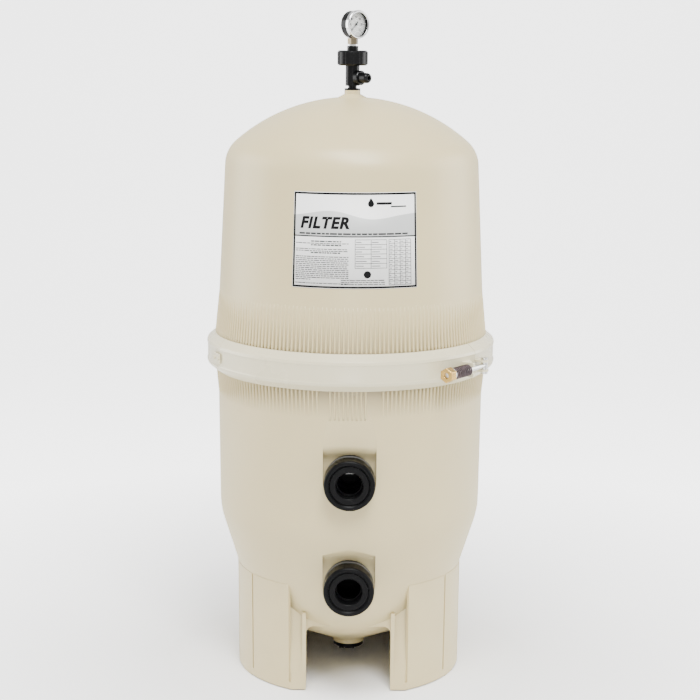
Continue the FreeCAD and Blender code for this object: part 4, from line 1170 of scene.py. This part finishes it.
# ---------------------------------------------------------------- studio
@dataclass
class Studio:
    """Pale sweep, soft lights and the camera at the reference viewing angle."""

    distance: float = 3.2898
    height: float = 1.227
    pitch: float = math.radians(10.556)
    roll: float = 0.0075
    lens: float = 90.0

    def build_floor(self) -> None:
        """A pale floor that curves up behind the object."""
        profile = [(-7.0, 0.0), (3.0, 0.0)]
        turns = 12
        for step in range(1, turns + 1):
            angle = math.pi / 2 * step / turns
            profile.append((3.0 + 2.0 * math.sin(angle), 2.0 - 2.0 * math.cos(angle)))
        profile.append((5.0, 7.0))
        points = [Vector((side, y, z)) for y, z in profile for side in (-9.0, 9.0)]
        faces = [(2 * row, 2 * row + 1, 2 * row + 3, 2 * row + 2) for row in range(len(profile) - 1)]
        floor = mesh_piece("studio_floor", points, faces)
        material = bpy.data.materials.new("studio_floor")
        material.use_nodes = True
        graph = Graph(material.node_tree)
        shader = material.node_tree.nodes["Principled BSDF"]
        tone = graph.mix(graph.noise(2.0, 3.0), (0.96, 0.96, 0.96), (0.99, 0.99, 0.99))
        graph.join(tone, shader.inputs["Base Color"])
        seen = graph.node("ShaderNodeLightPath").outputs["Is Camera Ray"]
        reach = graph.node("ShaderNodeVectorMath", operation="LENGTH")
        graph.join(graph.node("ShaderNodeNewGeometry").outputs["Position"], reach.inputs[0])
        glow = graph.ranged(reach.outputs["Value"], 0.35, 1.5, 0.0, 2.2)
        graph.join(graph.math("MULTIPLY", seen, glow), shader.inputs["Emission Strength"])
        graph.join(tone, shader.inputs["Emission Color"])
        graph.fill(shader, Roughness=0.8)
        floor.data.materials.append(material)

    def add_light(self, name: str, place: tuple[float, float, float], size: float, power: float) -> None:
        """Add a soft square light that looks at the tank.

        Args:
            name: The light's name.
            place: Its position.
            size: Its side in metres.
            power: Its power in watts.
        """
        light = bpy.data.lights.new(name, "AREA")
        light.size = size
        light.energy = power
        holder = bpy.data.objects.new(name, light)
        holder.location = place
        aim = Vector((0, 0, 0.65)) - Vector(place)
        holder.rotation_euler = aim.to_track_quat("-Z", "Y").to_euler()
        bpy.context.scene.collection.objects.link(holder)

    def build_lights(self) -> None:
        """White surroundings with big soft boxes at both sides, above and in front."""
        world = bpy.data.worlds.new("studio_world")
        world.use_nodes = True
        background = world.node_tree.nodes["Background"]
        background.inputs["Color"].default_value = (1.0, 1.0, 1.0, 1.0)
        background.inputs["Strength"].default_value = 0.95
        bpy.context.scene.world = world
        self.add_light("left_box", (-3.0, 0.6, 1.3), 2.2, 85.0)
        self.add_light("right_box", (3.0, 0.6, 1.3), 2.2, 85.0)
        self.add_light("front_box", (0.8, -3.2, 3.9), 1.4, 170.0)
        self.add_light("low_box", (0.0, -3.4, 0.35), 0.9, 14.0)
        self.add_light("top_box", (0.0, -1.4, 3.6), 1.6, 150.0)

    def build_camera(self) -> None:
        """The camera, a little above the lid and tipped down."""
        camera = bpy.data.cameras.new("camera")
        camera.lens = self.lens
        camera.sensor_width = 36.0
        camera.clip_end = 50.0
        holder = bpy.data.objects.new("camera", camera)
        turn = Matrix.Rotation(math.pi / 2 - self.pitch, 4, "X") @ Matrix.Rotation(self.roll, 4, "Z")
        holder.matrix_world = Matrix.Translation((-0.0009, -self.distance, self.height)) @ turn
        bpy.context.scene.collection.objects.link(holder)
        bpy.context.scene.camera = holder

    def build(self) -> None:
        """Build the whole studio."""
        self.build_camera()
        self.build_floor()
        self.build_lights()


# ---------------------------------------------------------------- assembly
def wall_radius(height: float) -> float:
    """Outer radius of the lid's tapered wall at a height, read from the frame.

    Args:
        height: Height in metres.

    Returns:
        The radius in metres.
    """
    lid_low, lid_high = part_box("upper_tank_lid")
    foot = lid_low[2] + LID_FOOT_RISE
    shoulder = lid_high[2] - LID_SHOULDER_DROP
    share = (height - foot) / (shoulder - foot)
    return LID_FOOT_RADIUS + (LID_SHOULDER_RADIUS - LID_FOOT_RADIUS) * share


def main() -> None:
    """Build the studio, dress the CAD pieces and add the pieces that only the looks need."""
    build_groups()
    palette = Palette()
    Studio().build()

    label_low, label_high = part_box("label")
    low, high = label_low[2], label_high[2]
    film = FINISHES["label_print"]
    divider = low + (high - low) * LABEL_DIVIDER
    FINISHES["label_print"] = replace(film, divider=divider, band=divider + 39 * MM)
    cad = CadPieces(palette)
    cad.dress_all()
    cad.round_edges()

    clamp_low, clamp_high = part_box("clamp_left")
    split = (clamp_low[2] + clamp_high[2]) / 2
    root, tip = split + 30 * MM, split + 116 * MM
    sink = 0.2 * MM
    RibRing("upper_ribs", palette, root_height=root, tip_height=tip,
            root_radius=wall_radius(root) - sink, tip_radius=wall_radius(tip) - sink).build()
    RibRing("lower_ribs", palette, root_height=split - 30 * MM, tip_height=split - 88 * MM,
            root_radius=251.4 * MM, tip_radius=250.3 * MM,
            plain=((-12.2, -8.6), (7.5, 11.8)), channel=248.4 * MM).build()

    gap = 0.05 * MM
    LabelPrint(palette, low, high, azimuth=math.radians(1.7), half_angle=math.radians(26.6),
               radius_low=wall_radius(low) + gap, radius_high=wall_radius(high) + gap).build()

    gauge_turn = math.radians(41)
    facing = Vector((math.sin(gauge_turn), -math.cos(gauge_turn), 0))
    dial_low, dial_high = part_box("gauge_dial")
    height = (dial_low[2] + dial_high[2]) / 2
    GaugeFace(palette, centre=Vector((0, 0, height)), facing=facing, radius=23.0 * MM,
              lift=7.8 * MM).build()


if __name__ == "__main__":
    main()
